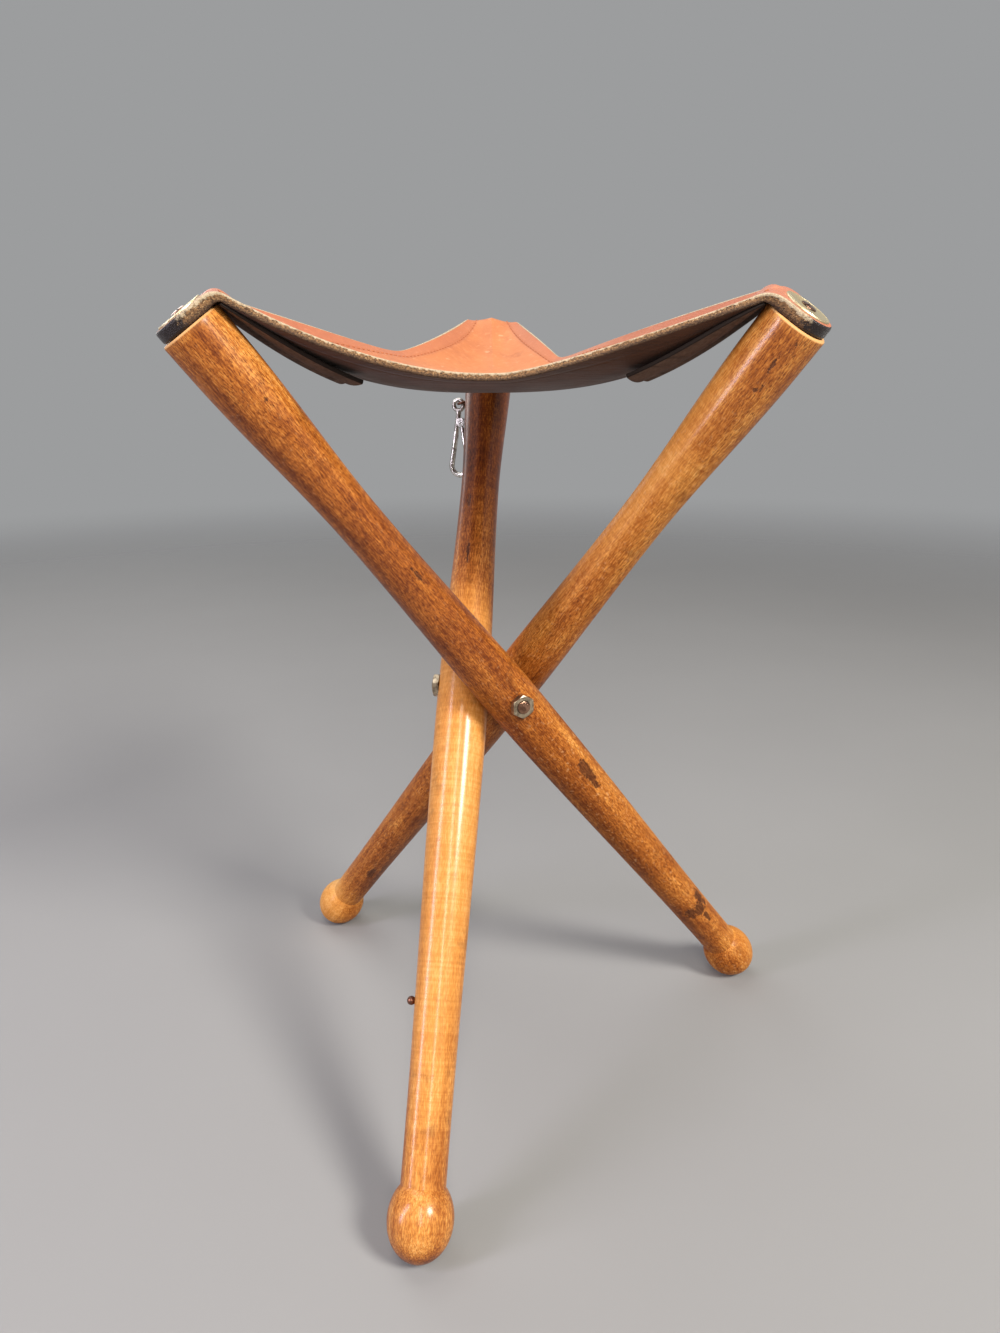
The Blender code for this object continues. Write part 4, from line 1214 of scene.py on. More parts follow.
def half_ply(
    third, hand, start=0.0, strip=None, inset=0.0, upper=0.0, hang=0.0, thickness=LEATHER, pared=1.0
):
    """Points, normals, hem distances and layers of one half of a ply, each a grid of rows by section."""
    ridge, hem = rows_of(third, start, strip)
    heading, length, slant = measured_rows(ridge, hem)
    length = length - inset * slant
    share, arris, depth, angle = section(thickness).T
    core = (length - ARRIS * slant)[:, None]
    reach = core * share + ARRIS * slant[:, None] * arris
    plan = ridge[:, None, :] + heading[:, None, :] * reach[..., None]
    bend = (third.crest_out - PARING, third.crest_out, third.crest_out + PARING / 2)
    paring = np.interp(ridge[:, 0], bend, (1, pared, TAB_PLIES))
    lower = upper + np.interp(ridge[:, 0], (start, third.crest_out - PARING), (hang, 0))
    deep = lower[:, None] + depth * paring[:, None]
    points, normals = third.surface(plan[..., 0], hand * plan[..., 1], deep)
    tangent = np.gradient(points[:, MIDDLE_OF_CUT], axis=0)
    outward = np.cross(normals[:, MIDDLE_OF_CUT], tangent) * hand
    outward /= np.linalg.norm(outward, axis=-1, keepdims=True)
    turn = np.radians(angle)
    facing = normals * np.cos(turn)[:, None] + outward[:, None, :] * np.sin(turn)[:, None]
    facing /= np.linalg.norm(facing, axis=-1, keepdims=True)
    away = (length[:, None] - reach) / slant[:, None]
    layer = np.where(angle <= 0, 0, np.where(angle >= 180, 1, 0.1 + 0.8 * depth / thickness))
    return points, facing, away, np.broadcast_to(layer, reach.shape)


print("points round a cut:", len(section(LEATHER)))

# %% [markdown]
# A piece is made from the rows between two row numbers of both halves. Its open ends get flat caps, so that
# it stays closed when it swings away from its neighbour.


# %% Pieces of a ply
def ply_piece(name, third, first, last, finish, **shape):
    """A closed piece of a ply between two rows, with its hem, layer and tab measures."""
    points, normals, hems, layers, tabs, faces, caps = [], [], [], [], [], [], []
    tip = last == LAST_ROW
    for hand in (1, -1):
        grid, facing, away, level = half_ply(third, hand, **shape)
        rows, around = last - first + 1, grid.shape[1]
        base = sum(len(half) for half in points)
        index = base + np.arange(rows * around).reshape(rows, around)
        kept = slice(first, last + 1)
        for store, values in ((points, grid), (normals, facing), (hems, away), (layers, level)):
            store.append(values[kept].reshape(rows * around, -1))
        on_tab = np.clip((np.arange(first, last + 1) - WING_ROWS) / TAB_ROWS, 0, 2) / 2
        tabs.append(np.repeat(on_tab, around))
        for row in range(rows - 1):
            near, far = index[row], index[row + 1]
            for step in range(around - 1):
                quad = (near[step], far[step], far[step + 1], near[step + 1])
                faces.append(quad if hand > 0 else quad[::-1])
        ends = [(index[0], -hand)] + ([] if tip else [(index[-1], hand)])
        for ring, way in ends:
            for step in range(COLUMNS):
                quad = (ring[step], ring[step + 1], ring[around - 2 - step], ring[around - 1 - step])
                caps.append(quad if way > 0 else quad[::-1])
            edge_loop = tuple(ring[COLUMNS:around - COLUMNS])
            caps.append(edge_loop if way > 0 else edge_loop[::-1])
    mesh = bpy.data.meshes.new(name)
    mesh.from_pydata(np.concatenate(points).tolist(), [], [list(map(int, face)) for face in faces + caps])
    note(mesh, "hem", np.concatenate(hems))
    note(mesh, "layer", np.concatenate(layers))
    note(mesh, "tab", np.concatenate(tabs))
    note(mesh, "facing", np.concatenate(normals), "FLOAT_VECTOR")
    is_cap = mesh.attributes.new("is_cap", "BOOLEAN", "FACE")
    is_cap.data.foreach_set("value", [index >= len(faces) for index in range(len(mesh.polygons))])
    return shade_by_rule(mesh, finish)


# %% [markdown]
# The two halves of a piece are welded along the ridge. Its shading normals come from the formula and not
# from the faces, so that wing and tab meet without a visible line, and only the caps keep their own.


# %% Shading by the rule
def shade_by_rule(mesh, finish):
    """Welds a piece and sets its shading normals: the rule's on the hide, the face's own on a cap."""
    shape = bmesh.new()
    shape.from_mesh(mesh)
    bmesh.ops.remove_doubles(shape, verts=shape.verts, dist=1e-6)
    bmesh.ops.dissolve_degenerate(shape, edges=shape.edges, dist=1e-7)
    shape.normal_update()
    rule = shape.verts.layers.float_vector["facing"]
    cap = shape.faces.layers.bool["is_cap"]
    middle = sum((vert.co for vert in shape.verts), Vector()) / len(shape.verts)
    for face in shape.faces:
        outward = face.calc_center_median() - middle
        if not face[cap]:
            outward = sum((vert[rule] for vert in face.verts), Vector())
        if face.normal.dot(outward) < 0:
            face.normal_flip()
    shape.to_mesh(mesh)
    shape.free()
    facing = np.empty(len(mesh.vertices) * 3, np.float32)
    mesh.attributes["facing"].data.foreach_get("vector", facing)
    facing = facing.reshape(-1, 3)
    capped = np.empty(len(mesh.polygons), bool)
    mesh.attributes["is_cap"].data.foreach_get("value", capped)
    mesh.shade_smooth()
    normals = np.zeros((len(mesh.loops), 3), np.float32)
    for face in mesh.polygons:
        for loop in face.loop_indices:
            own = capped[face.index]
            normals[loop] = face.normal if own else facing[mesh.loops[loop].vertex_index]
    mesh.normals_split_custom_set(normals.tolist())
    for name in ("facing", "is_cap"):
        mesh.attributes.remove(mesh.attributes[name])
    mesh.materials.append(finish)
    return mesh


# %% [markdown]
# When the legs close, the real hide crumples between them. Here each wing rides on its corner and only
# gets a mesh of its own.


def crumple(piece, third):
    """Gives a wing a mesh of its own."""
    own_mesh(piece)


seat_pieces = {}
for side, third in THIRDS.items():
    wing_mesh = ply_piece(f"seat_wing_{side}", third, 0, WING_ROWS, leather.material)
    tab_mesh = ply_piece(f"seat_tab_{side}", third, WING_ROWS, LAST_ROW, leather.material)
    wing = put(wing_mesh.name, wing_mesh, f"corner_{side}", "seat_leather", "seat_panel")
    crumple(wing, third)
    tab_piece = put(tab_mesh.name, tab_mesh, f"leg_{side}", "seat_leather", "seat_panel")
    seat_pieces[side] = (wing, tab_piece)
    for made in seat_pieces[side]:
        print(made.name, len(made.data.polygons), "faces")

# %% [markdown]
# Under each corner lies a strip of suede, a second and thinner ply. It is drawn by the same rows, one
# hide's thickness deeper, so that it follows the hide everywhere. Its free end hangs a little away, and
# it is pared thin towards the crest. On the tab both plies are glued and burnished to one thick edge, so
# there they are drawn as one.

# %% Corner patches
PATCH_SHAPE = {
    "start": PATCH_START,
    "strip": PATCH_HALF_WIDTH,
    "inset": PATCH_INSET,
    "upper": LEATHER + GAP,
    "hang": PATCH_HANG,
    "thickness": PATCH,
    "pared": 0.5,
}
patch_pieces = {}
for side, third in THIRDS.items():
    wing_mesh = ply_piece(f"patch_wing_{side}", third, 0, WING_ROWS, suede.material, **PATCH_SHAPE)
    wing = put(wing_mesh.name, wing_mesh, f"corner_{side}", "patch_leather", f"corner_patch_{side}")
    crumple(wing, third)
    patch_pieces[side] = wing
print("patches:", len(patch_pieces))

# %% [markdown]
# ## Stitches
#
# A row of waxed stitches runs in a crease near each hem. A stitch is a short fat thread, and there are
# hundreds, so a node tree walks along a line of points on the hide and puts one small mesh at every step.

# %% Node tree of a row of stitches
STITCH_PITCH = 0.0042
STITCH_LENGTH = 0.0029
STITCH_WIDTH = 0.00085
STITCH_LIFT = 0.00012

steps, size, end = node_tree("stitch_row", ("Pitch", "Length", "Width"))
line = steps.node("GeometryNodeMeshToCurve", {"Mesh": size["Geometry"]}).outputs[0]
resampled = steps.node("GeometryNodeResampleCurve", {"Curve": line}, mode="LENGTH")
steps.feed(resampled.inputs["Length"], size["Pitch"])
beads = {"Segments": 6, "Rings": 5, "Radius": 0.5}
bead = steps.node("GeometryNodeMeshUVSphere", beads).outputs["Mesh"]
form = steps.node("ShaderNodeCombineXYZ", {0: size["Length"], 1: size["Width"], 2: size["Width"]}).outputs[0]
stitch = steps.node("GeometryNodeTransform", {"Geometry": bead, "Scale": form}).outputs[0]
tangent = steps.node("GeometryNodeInputTangent").outputs[0]
lift = steps.node("GeometryNodeInputNamedAttribute", {"Name": "lift"}, data_type="FLOAT_VECTOR").outputs[0]
along = steps.node("FunctionNodeAlignRotationToVector", {"Vector": tangent}, axis="X").outputs[0]
upright = steps.node("FunctionNodeAlignRotationToVector", {"Rotation": along, "Vector": lift}, axis="Z")
upright.pivot_axis = "X"
copies = steps.node("GeometryNodeInstanceOnPoints", {"Points": resampled.outputs[0], "Instance": stitch})
steps.feed(copies.inputs["Rotation"], upright.outputs[0])
end_tree(steps, copies.outputs[0], size["Finish"], end)
STITCH_ROW = steps.tree
print("stitch tree nodes:", len(STITCH_ROW.nodes))

# %% [markdown]
# The line is taken from the seat's own rows, a stitch's inset from each hem, and carries the way up at
# every point. The tree then lays each stitch along the line and flat on the hide, and the stitches fold
# with it.


# %% Rows of stitches
def stitch_line(third):
    """Two lines of points on the hide, one near each hem of a wing, with the way up at each point."""
    ridge, hem = rows_of(third, 0.0)
    heading, _, slant = measured_rows(ridge, hem)
    plan = hem - heading * (STITCH_INSET * slant)[:, None]
    plan = plan[:WING_ROWS + 1]
    lifted = np.full(len(plan), -STITCH_LIFT)
    places, lifts, edges = [], [], []
    for hand in (1, -1):
        points, normals = third.surface(plan[:, 0], hand * plan[:, 1], lifted)
        first = len(places)
        places += points.tolist()
        lifts += normals.tolist()
        edges += [(first + step, first + step + 1) for step in range(len(plan) - 1)]
    mesh = bpy.data.meshes.new("stitch_line")
    mesh.from_pydata(places, edges, [])
    note(mesh, "lift", lifts, "FLOAT_VECTOR")
    return mesh


stitch_sizes = {"Pitch": STITCH_PITCH, "Length": STITCH_LENGTH, "Width": STITCH_WIDTH}
for side, third in THIRDS.items():
    mesh = grown(STITCH_ROW, dict(stitch_sizes, Finish=thread.material), stitch_line(third))
    mesh.shade_smooth()
    made = put(f"stitches_{side}", mesh, f"corner_{side}", "seat_leather", "seat_panel")
    crumple(made, third)
    print(made.name, len(mesh.polygons), "faces")

# %% [markdown]
# ## Discs, screws and nuts
#
# Each corner is held by a slotted screw through a round brass disc, and each bolt arm by a thin hexagon
# nut. They are turned on the lathe and then cut: the disc is bored, the screw slotted, and the nut is a
# prism with its corners turned off. They could be modelled by hand, but the cuts leave the same edges as
# the real tools.

# %% Discs, screws and nuts
DISC_RADIUS = 0.0126
DISC_HEIGHT = 0.0016
DISC_EDGE = 0.0006
SCREW_RADIUS = 0.002
SCREW_DEPTH = 0.026
SCREW_HEAD_RADIUS = 0.0042
SCREW_HEAD_HEIGHT = 0.0007
SLOT_WIDTH = 0.0009
SLOT_DEPTH = 0.0006
NUT_WIDTH = 0.013
NUT_HEIGHT = 0.0040
ARM_PROUD = 0.0011
ROUND_SIDES = 64
SMALL_SIDES = 40
BORE_SIDES = 32
RIM_STEPS = 6
DISC_SUNK = 0.0010
DISC_LOW = UPPER_LENGTH + STACK + GAP - DISC_SUNK
DISC_TOP = DISC_LOW + DISC_HEIGHT
NUT_SEAT = ARM_OFFSET + BELLY_RADIUS - SPOT_DEPTH + GAP
ARM_LENGTH = NUT_SEAT + NUT_HEIGHT + ARM_PROUD


def disc_rim(height, first, last):
    """A quarter of the disc's rounded rim about a height, from one angle to another in degrees."""
    turns = np.radians(np.linspace(first, last, RIM_STEPS))
    middle = DISC_RADIUS - DISC_EDGE
    return [(middle + DISC_EDGE * math.cos(t), height + DISC_EDGE * math.sin(t)) for t in turns]


def block(low, high):
    """A box between two corners."""
    shape = bmesh.new()
    size = Vector(high) - Vector(low)
    middle = (Vector(high) + Vector(low)) / 2
    bmesh.ops.create_cube(shape, size=1, matrix=Matrix.Translation(middle) @ Matrix.Diagonal((*size, 1)))
    return shape


def disc_mesh():
    """A washer with a rounded rim and a shallow ring groove round its flat top."""
    flat = DISC_RADIUS - DISC_EDGE
    groove = DISC_EDGE / 3
    outline = [(0, DISC_TOP), (flat - 5 * groove, DISC_TOP), (flat - 4 * groove, DISC_TOP - groove)]
    outline += [(flat - 3 * groove, DISC_TOP)]
    outline += disc_rim(DISC_TOP - DISC_EDGE, 90, 0)
    outline += disc_rim(DISC_LOW + DISC_EDGE, 0, -90)
    outline += [(0, DISC_LOW)]
    hole = rod_outline(SCREW_RADIUS + GAP, DISC_LOW - DISC_HEIGHT, DISC_TOP + DISC_HEIGHT)
    washer = mesh_from(lathe(outline, ROUND_SIDES), "disc")
    return carved(washer, [("DIFFERENCE", mesh_from(lathe(hole, BORE_SIDES), "hole"))])


def screw_mesh():
    """A slotted wood screw with a domed head."""
    seat = DISC_TOP + GAP
    top = seat + SCREW_HEAD_HEIGHT
    tip = UPPER_LENGTH - SCREW_DEPTH
    outline = dome(SCREW_HEAD_RADIUS, top, SCREW_HEAD_HEIGHT)
    outline += [(SCREW_RADIUS, seat), (SCREW_RADIUS, tip + 2 * SCREW_RADIUS), (0, tip)]
    corner = (2 * SCREW_HEAD_RADIUS, SLOT_WIDTH / 2, top + SCREW_HEAD_HEIGHT)
    slot = block((-corner[0], -corner[1], top - SLOT_DEPTH), corner)
    screw = mesh_from(lathe(outline, SMALL_SIDES), "screw")
    return carved(screw, [("DIFFERENCE", mesh_from(slot, "slot"))])


def nut_mesh():
    """A hexagon nut on Z, its corners turned off at both ends."""
    corner = NUT_WIDTH / math.sqrt(3)
    bevel = corner - NUT_WIDTH / 2
    rounding = [(0, NUT_HEIGHT), (corner - bevel, NUT_HEIGHT), (corner, NUT_HEIGHT - bevel / 2)]
    rounding += [(corner, bevel / 2), (corner - bevel, 0), (0, 0)]
    bore = rod_outline(ARM_RADIUS + GAP, -NUT_HEIGHT, 2 * NUT_HEIGHT)
    steps = [
        ("INTERSECT", mesh_from(lathe(rounding, ROUND_SIDES), "turning")),
        ("DIFFERENCE", mesh_from(lathe(bore, SMALL_SIDES), "bore")),
    ]
    prism = mesh_from(lathe(rod_outline(corner, 0, NUT_HEIGHT), 6), "prism", sharp=20)
    return carved(prism, steps, sharp=22)


print("disc top at", round(DISC_TOP, 5), "m up the leg, nut seat at", round(NUT_SEAT, 5), "m out on the arm")

# %% [markdown]
# The three corners and the three arms carry the same fastenings, so each is made once, and a node tree
# sets a copy out at its place on each leg. The copies are separate meshes, because each rides on a body
# of its own.

# %% Setting out the fastenings
steps, size, end = node_tree("set_out", ())
set_out_inputs = {"Part": "NodeSocketObject", "Turn": "NodeSocketRotation", "Place": "NodeSocketVector"}
for label, kind in set_out_inputs.items():
    steps.tree.interface.new_socket(label, in_out="INPUT", socket_type=kind)
source = steps.node("GeometryNodeObjectInfo", {"Object": size["Part"]}).outputs["Geometry"]
point = steps.node("GeometryNodePoints", {"Count": 1, "Position": size["Place"]}).outputs[0]
copies = steps.node("GeometryNodeInstanceOnPoints", {"Points": point, "Instance": source})
steps.feed(copies.inputs["Rotation"], size["Turn"])
end_tree(steps, copies.outputs[0], size["Finish"], end)
SET_OUT = steps.tree


def set_out(mesh, places, finish):
    """Copies of a mesh, one for each place."""
    pattern = bpy.data.objects.new("pattern", mesh)
    bpy.context.scene.collection.objects.link(pattern)
    copies = {}
    for side, place in places.items():
        where = {"Turn": place.to_euler(), "Place": place.to_translation()}
        copies[side] = grown(SET_OUT, dict(where, Part=pattern, Finish=finish))
    bpy.data.objects.remove(pattern)
    return copies


def arm_place(leg, along):
    """A frame on a bolt arm, Z along the arm and X up."""
    turn = Matrix((UP, leg.arm.cross(UP), leg.arm)).transposed()
    return Matrix.Translation(HUB + leg.arm * along) @ turn.to_4x4()


leg_places = {side: leg.place for side, leg in LEGS.items()}
nut_places = {side: arm_place(leg, NUT_SEAT) for side, leg in LEGS.items()}
for side, mesh in set_out(disc_mesh(), leg_places, disc_brass).items():
    put(f"washer_{side}", mesh, f"leg_{side}", "disc_brass", f"corner_disc_{side}")
for side, mesh in set_out(screw_mesh(), leg_places, bolt_bronze).items():
    put(f"wood_screw_{side}", mesh, f"leg_{side}", "bolt_steel", f"corner_screw_{side}")
for side, mesh in set_out(nut_mesh(), nut_places, nut_plate).items():
    put(f"hex_nut_{side}", mesh, "hub", "bolt_steel", f"pivot_nut_{side}")
print("fastenings set out:", 3 * len(SIDES))

# %% [markdown]
# ## The three-way bolt
#
# One forged bolt with three arms holds the legs together. Only the domed ends of its arms show in the nuts,
# and the rest passes through the legs to a round middle, so a ball and three turned arms are joined to one
# mesh.

# %% Bolt
BALL_STEPS = 7
boss = max(ARM_OFFSET - BELLY_RADIUS - GAP, ARM_RADIUS)
half_ball = dome(boss, boss, boss, BALL_STEPS)
ball = lathe(half_ball + mirrored(half_ball[:-1]), BORE_SIDES, Matrix.Translation(HUB))
arm_outline = dome(ARM_RADIUS, ARM_LENGTH, ARM_PROUD / 2) + [(ARM_RADIUS, 0), (0, 0)]
turned_arms = [lathe(arm_outline, SMALL_SIDES, arm_place(leg, 0)) for leg in LEGS.values()]
arms = [("UNION", mesh_from(arm, "arm")) for arm in turned_arms]
bolt_mesh = carved(mesh_from(ball, "bolt"), arms)
put("bolt_arms", dressed(bolt_mesh, bolt_bronze), "hub", "bolt_steel", "three_way_bolt")
print("bolt faces:", len(bolt_mesh.polygons))

# %% [markdown]
# ## Hook, eye and stud
#
# A screw eye under the back corner carries a small snap hook for a strap, and a round stud lower down takes
# the strap's other end. Wire pieces are round bars along a path, joined where the real ones are brazed.

# %% Sizes of the hook and the eye
EYE_DROP = 0.047
EYE_HEIGHT = UPPER_LENGTH - EYE_DROP
EYE_TURN = math.radians(22)
EYE_RADIUS = 0.0034
EYE_WIRE = 0.00095
EYE_SHANK_DEPTH = 0.011
HOOK_RING_RADIUS = 0.00375
HOOK_RING_WIRE = 0.00155
HOOK_WIRE = 0.0020
HOOK_BOW_DROP = 0.0450
HOOK_BOW_RADIUS = 0.0066
HOOK_NOSE_RISE = 0.0055
LUG_RADIUS = 0.0030
LUG_WIDTH = 0.0052
LUG_DROP = 0.0130
LUG_OFFSET = -0.0020
GATE_EYE_RADIUS = 0.0020
GATE_EYE_WIDTH = 0.0020
GATE_WIRE = 0.0015
PIN_RADIUS = 0.0008
PIN_PROUD = 0.0003
WIRE_SIDES = 24
RING_STEPS = 48
RING_DROP = HOOK_RING_RADIUS - HOOK_RING_WIRE - EYE_WIRE - GAP
back = LEGS["back"]
print("the hook is", round(RING_DROP + HOOK_BOW_DROP + HOOK_BOW_RADIUS + HOOK_WIRE, 4), "m long")

# %% [markdown]
# The eye, the hook and the gate each have a frame of their own, with the wire's path in its XZ plane. The
# helpers below give such a frame, a closed ring and a rod across the plane, and the leg's radius at a
# height says where the wood begins.


# %% Frames, rings and rods
def frame_on(origin, x_axis, z_axis):
    """A matrix at a point from its X axis and a rough Z axis."""
    x = x_axis.normalized()
    y = z_axis.cross(x).normalized()
    return Matrix.Translation(origin) @ Matrix((x, y, x.cross(y))).transposed().to_4x4()


def wire_ring(radius, drop, wire, place):
    """A closed ring of wire, its middle a drop below the frame's origin."""
    turns = [2 * math.pi * step / RING_STEPS for step in range(RING_STEPS)]
    points = [Vector((radius * math.cos(turn), 0, radius * math.sin(turn) - drop)) for turn in turns]
    return tube(points, [wire] * RING_STEPS, WIRE_SIDES, True, place)


def leg_radius(height):
    """The turned radius of the shaft."""
    levels = (ANKLE_HEIGHT, BELLY_HEIGHT, WAIST_HEIGHT, HEAD_SWELL_HEIGHT)
    radii = (ANKLE_RADIUS, BELLY_RADIUS, WAIST_RADIUS, HEAD_RADIUS)
    for low, high, thin, thick in zip(levels, levels[1:], radii, radii[1:]):
        if height <= high:
            return thin + (thick - thin) * ease((height - low) / (high - low))
    return HEAD_RADIUS


def cross_rod(radius, width, out, drop, place):
    """A rod across the hook's plane."""
    spot = Matrix.Translation((out, 0, -drop)) @ Matrix.Rotation(math.pi / 2, 4, "X")
    return lathe(rod_outline(radius, -width / 2, width / 2), SMALL_SIDES, place @ spot)


print("leg radius at the eye:", round(leg_radius(EYE_HEIGHT), 5))

# %% [markdown]
# The screw eye is a ring of wire on a shank that is screwed into the leg. It points a little down and
# out, so that the hook hangs clear of the wood.

# %% Screw eye
down_back = back.lean * math.cos(LEG_TILT) - UP * math.sin(LEG_TILT)
way = back.arm * math.cos(EYE_TURN) + down_back * math.sin(EYE_TURN)
through = (back.lean - way * back.lean.dot(way)).normalized()
stand_off = EYE_RADIUS + EYE_WIRE + GAP
eye_middle = back.at(EYE_HEIGHT) + way * (leg_radius(EYE_HEIGHT) + stand_off)
eye_place = frame_on(eye_middle, way, through)
eye_ring = wire_ring(EYE_RADIUS, 0, EYE_WIRE, eye_place)
shank_place = eye_place @ Matrix.Rotation(math.pi / 2, 4, "Y")
shank_outline = rod_outline(EYE_WIRE, -stand_off - EYE_SHANK_DEPTH, -EYE_RADIUS)
shank = mesh_from(lathe(shank_outline, WIRE_SIDES, shank_place), "shank")
eye_mesh = carved(mesh_from(eye_ring, "eye"), [("UNION", shank)], sharp=50)
put("wire_eye", dressed(eye_mesh, stud_iron), "leg_back", "stud_iron", "strap_screw_eye")
print("eye faces:", len(eye_mesh.polygons))

# %% [markdown]
# The snap hook was bent from one bar: a ring that hangs in the eye, a neck, a straight spine and a round
# bow that ends in a nose. A lug on the neck is slotted for the gate and bored for its rivet. The hook's
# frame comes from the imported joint, so that it swings about the eye.

# %% Snap hook
swing = JOINTS["hook_swing"]
swing_place = frame_on(Vector(swing["pos_m"]), UP.cross(Vector(swing["axis"])), UP)
BOW_LEAN = math.radians(8)
BOW_STEPS = 40


def hook_route():
    """The middle line of the hook's bar: neck, straight spine, round bow and nose."""
    route = [Vector((0, 0, -RING_DROP - HOOK_RING_RADIUS))]
    route.append(Vector((HOOK_WIRE / 4, 0, -LUG_DROP + LUG_RADIUS)))
    for step in range(BOW_STEPS + 1):
        angle = BOW_LEAN - (math.pi + 2 * BOW_LEAN) * step / BOW_STEPS
        bow = Vector((math.cos(angle), 0, math.sin(angle))) * HOOK_BOW_RADIUS
        route.append(bow - UP * HOOK_BOW_DROP)
    nose_way = Vector((math.sin(BOW_LEAN), 0, math.cos(BOW_LEAN)))
    route.append(route[-1] + nose_way * HOOK_NOSE_RISE)
    return route


route = hook_route()
ring = wire_ring(HOOK_RING_RADIUS, RING_DROP, HOOK_RING_WIRE, swing_place)
bar = tube(route, [HOOK_WIRE] * len(route), WIRE_SIDES, False, swing_place)
lug = cross_rod(LUG_RADIUS, LUG_WIDTH, LUG_OFFSET, LUG_DROP, swing_place)
slot_half = GATE_EYE_WIDTH / 2 + GAP
room = GATE_EYE_RADIUS + GAP
slot_low = (LUG_OFFSET - 2 * LUG_RADIUS, -slot_half, -LUG_DROP - 2 * LUG_RADIUS)
slot_high = (LUG_OFFSET + room, slot_half, -LUG_DROP + room)
slot_shape = block(slot_low, slot_high)
bmesh.ops.transform(slot_shape, matrix=swing_place, verts=slot_shape.verts)
pin_bore = cross_rod(PIN_RADIUS + GAP, 2 * LUG_WIDTH, LUG_OFFSET, LUG_DROP, swing_place)
hook_steps = [
    ("UNION", mesh_from(bar, "bar")),
    ("UNION", mesh_from(lug, "lug")),
    ("DIFFERENCE", mesh_from(slot_shape, "slot")),
    ("DIFFERENCE", mesh_from(pin_bore, "bore")),
]
hook_mesh = carved(mesh_from(ring, "hook"), hook_steps, sharp=45)
put("hook_body", dressed(hook_mesh, hook_nickel), "snap_hook", "hook_nickel", "snap_hook")
print("hook faces:", len(hook_mesh.polygons))

# %% [markdown]
# The gate is a thinner bar from the lug to the nose. It is flattened between the lug's cheeks and turns
# on a small rivet with domed ends.

# %% Gate and rivet
pivot = Vector((LUG_OFFSET, 0, -LUG_DROP))
turn_place = swing_place @ Matrix.Translation(pivot)
gate_way = route[-1] - pivot
gate_length = gate_way.length - 3 * GAP
gate_way.normalize()
thin = GATE_EYE_WIDTH / 2 - GAP / 4
clear = LUG_RADIUS + GAP
stations = ((0, thin), (clear, thin), (clear + GATE_WIRE, GATE_WIRE), (gate_length, GATE_WIRE))
gate_bar = tube([gate_way * s for s, _ in stations], [r for _, r in stations], WIRE_SIDES, False, turn_place)
gate_steps = [
    ("UNION", mesh_from(cross_rod(GATE_EYE_RADIUS, GATE_EYE_WIDTH, 0, 0, turn_place), "gate eye")),
    ("DIFFERENCE", mesh_from(cross_rod(PIN_RADIUS + GAP, 2 * LUG_WIDTH, 0, 0, turn_place), "gate bore")),
]
gate_mesh = carved(mesh_from(gate_bar, "gate"), gate_steps, sharp=45)
put("gate_bar", dressed(gate_mesh, hook_nickel), "hook_gate", "hook_nickel", "hook_gate")
pin_half = LUG_WIDTH / 2 + PIN_PROUD
half_pin = dome(PIN_RADIUS, pin_half, PIN_PROUD)
pin_place = turn_place @ Matrix.Rotation(math.pi / 2, 4, "X")
pin_mesh = mesh_from(lathe(half_pin + mirrored(half_pin), WIRE_SIDES, pin_place), "rivet")
put("gate_rivet", dressed(pin_mesh, hook_nickel), "snap_hook", "hook_nickel", "gate_pin")
print("gate faces:", len(gate_mesh.polygons))

# %% [markdown]
# The stud is one turned piece: a ball on a narrow neck that is driven into the leg. Its outline is an arc
# from the top of the ball down to the neck.

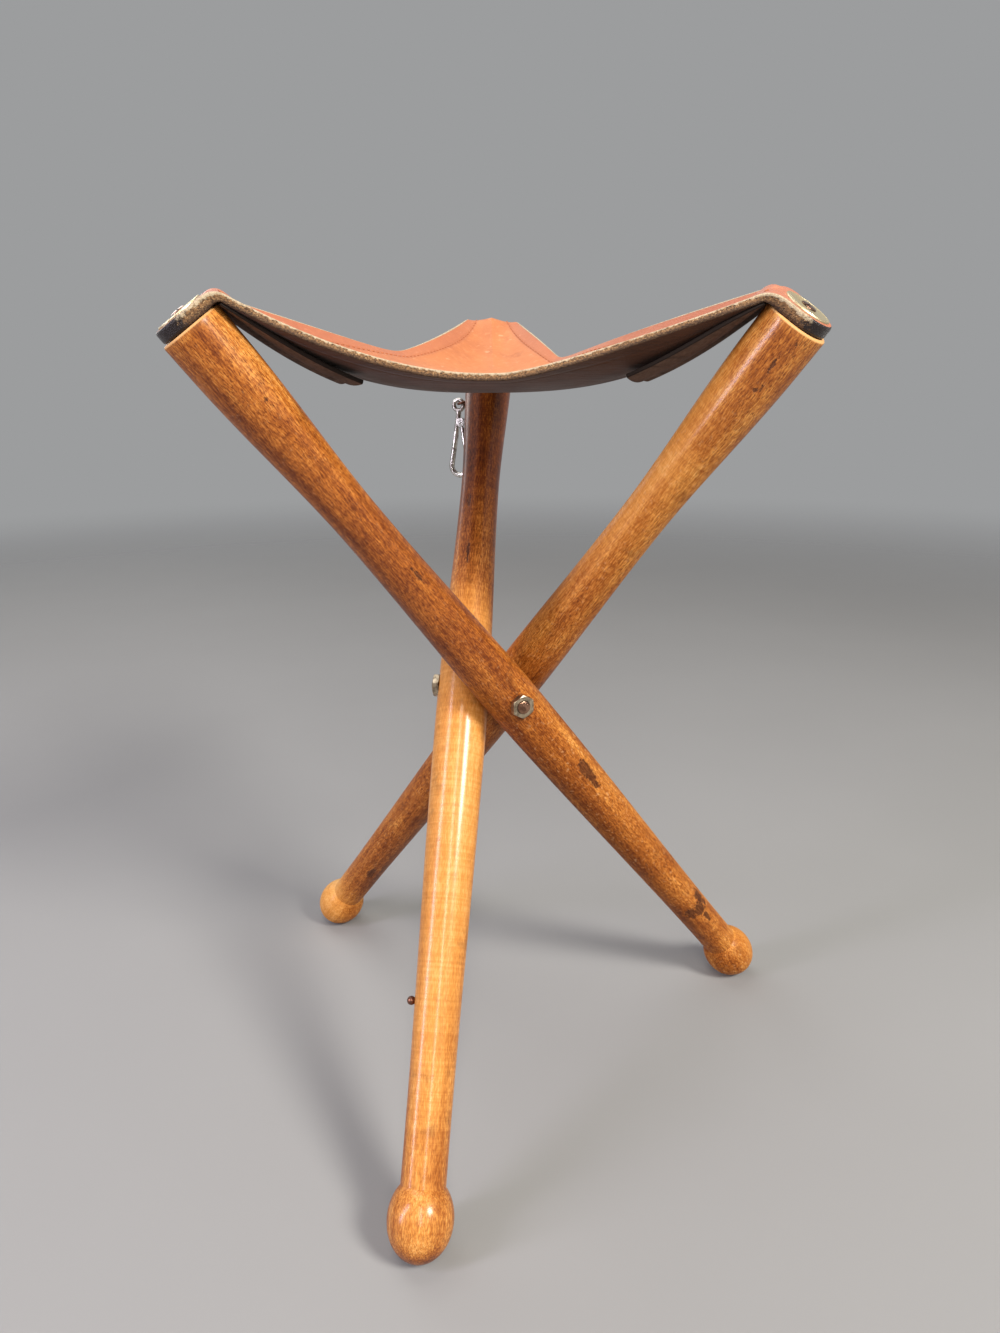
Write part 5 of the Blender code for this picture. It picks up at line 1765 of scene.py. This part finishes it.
# %% Strap stud
STUD_HEIGHT = -0.190
STUD_HEAD_RADIUS = 0.0025
STUD_NECK_RADIUS = 0.0013
STUD_PROUD = 0.0046
STUD_DEPTH = 0.008
STUD_STEPS = 15
stud_surface = leg_radius(STUD_HEIGHT)
stud_top = stud_surface + STUD_PROUD
stud_middle = stud_top - STUD_HEAD_RADIUS
neck_angle = -math.acos(STUD_NECK_RADIUS / STUD_HEAD_RADIUS)
turns = np.linspace(math.pi / 2, neck_angle, STUD_STEPS)[1:]
stud_outline = [(0, stud_top)]
for turn in turns:
    height = stud_middle + STUD_HEAD_RADIUS * math.sin(turn)
    stud_outline.append((STUD_HEAD_RADIUS * math.cos(turn), height))
stud_outline += [(STUD_NECK_RADIUS, stud_surface - STUD_DEPTH), (0, stud_surface - STUD_DEPTH)]
stud_place = back.place @ Matrix.Translation((0, 0, STUD_HEIGHT)) @ Matrix.Rotation(math.pi / 2, 4, "Y")
stud_mesh = mesh_from(lathe(stud_outline, SMALL_SIDES, stud_place), "stud")
put("round_stud", dressed(stud_mesh, stud_iron), "leg_back", "stud_iron", "strap_stud")
print("stud faces:", len(stud_mesh.polygons))

# %% [markdown]
# ## The hide as a sheet
#
# Each third of the seat is a wing with its tab, cut from flat leather. The flat size and area of a wing
# are measured on the top face of the rule's own grid, since good saddle leather hardly stretches.


# %% Sizes of the flat leather
def top_grids(third, **shape):
    """The points of a wing's top face, for each half."""
    for hand in (1, -1):
        yield half_ply(third, hand, **shape)[0][:WING_ROWS + 1, :TOP_COLUMNS]


def top_area(third, **shape):
    """The area of a wing's top face, in two triangles for each mesh of its grid."""
    total = 0.0
    for grid in top_grids(third, **shape):
        first = np.cross(grid[1:, :-1] - grid[:-1, :-1], grid[:-1, 1:] - grid[:-1, :-1])
        second = np.cross(grid[1:, :-1] - grid[1:, 1:], grid[:-1, 1:] - grid[1:, 1:])
        total += (np.linalg.norm(first, axis=-1).sum() + np.linalg.norm(second, axis=-1).sum()) / 2
    return total


def flat_size(third, **shape):
    """The width and length of a flat cut that holds a wing, along its longest rows and line out."""
    width, length = 0.0, 0.0
    for grid in top_grids(third, **shape):
        width += np.linalg.norm(np.diff(grid, axis=1), axis=-1).sum(axis=1).max()
        length = max(length, np.linalg.norm(np.diff(grid, axis=0), axis=-1).sum(axis=0).max())
    return float(width), float(length)


for side, third in THIRDS.items():
    wing, tab_piece = seat_pieces[side]
    flat = flat_size(third)
    area = round(top_area(third), 4)
    print(wing.name, "area", area, "square metres")
    patch = patch_pieces[side]
    flat = flat_size(third, **PATCH_SHAPE)
    area = round(top_area(third, **PATCH_SHAPE), 4)
    print(patch.name, "area", area, "square metres")
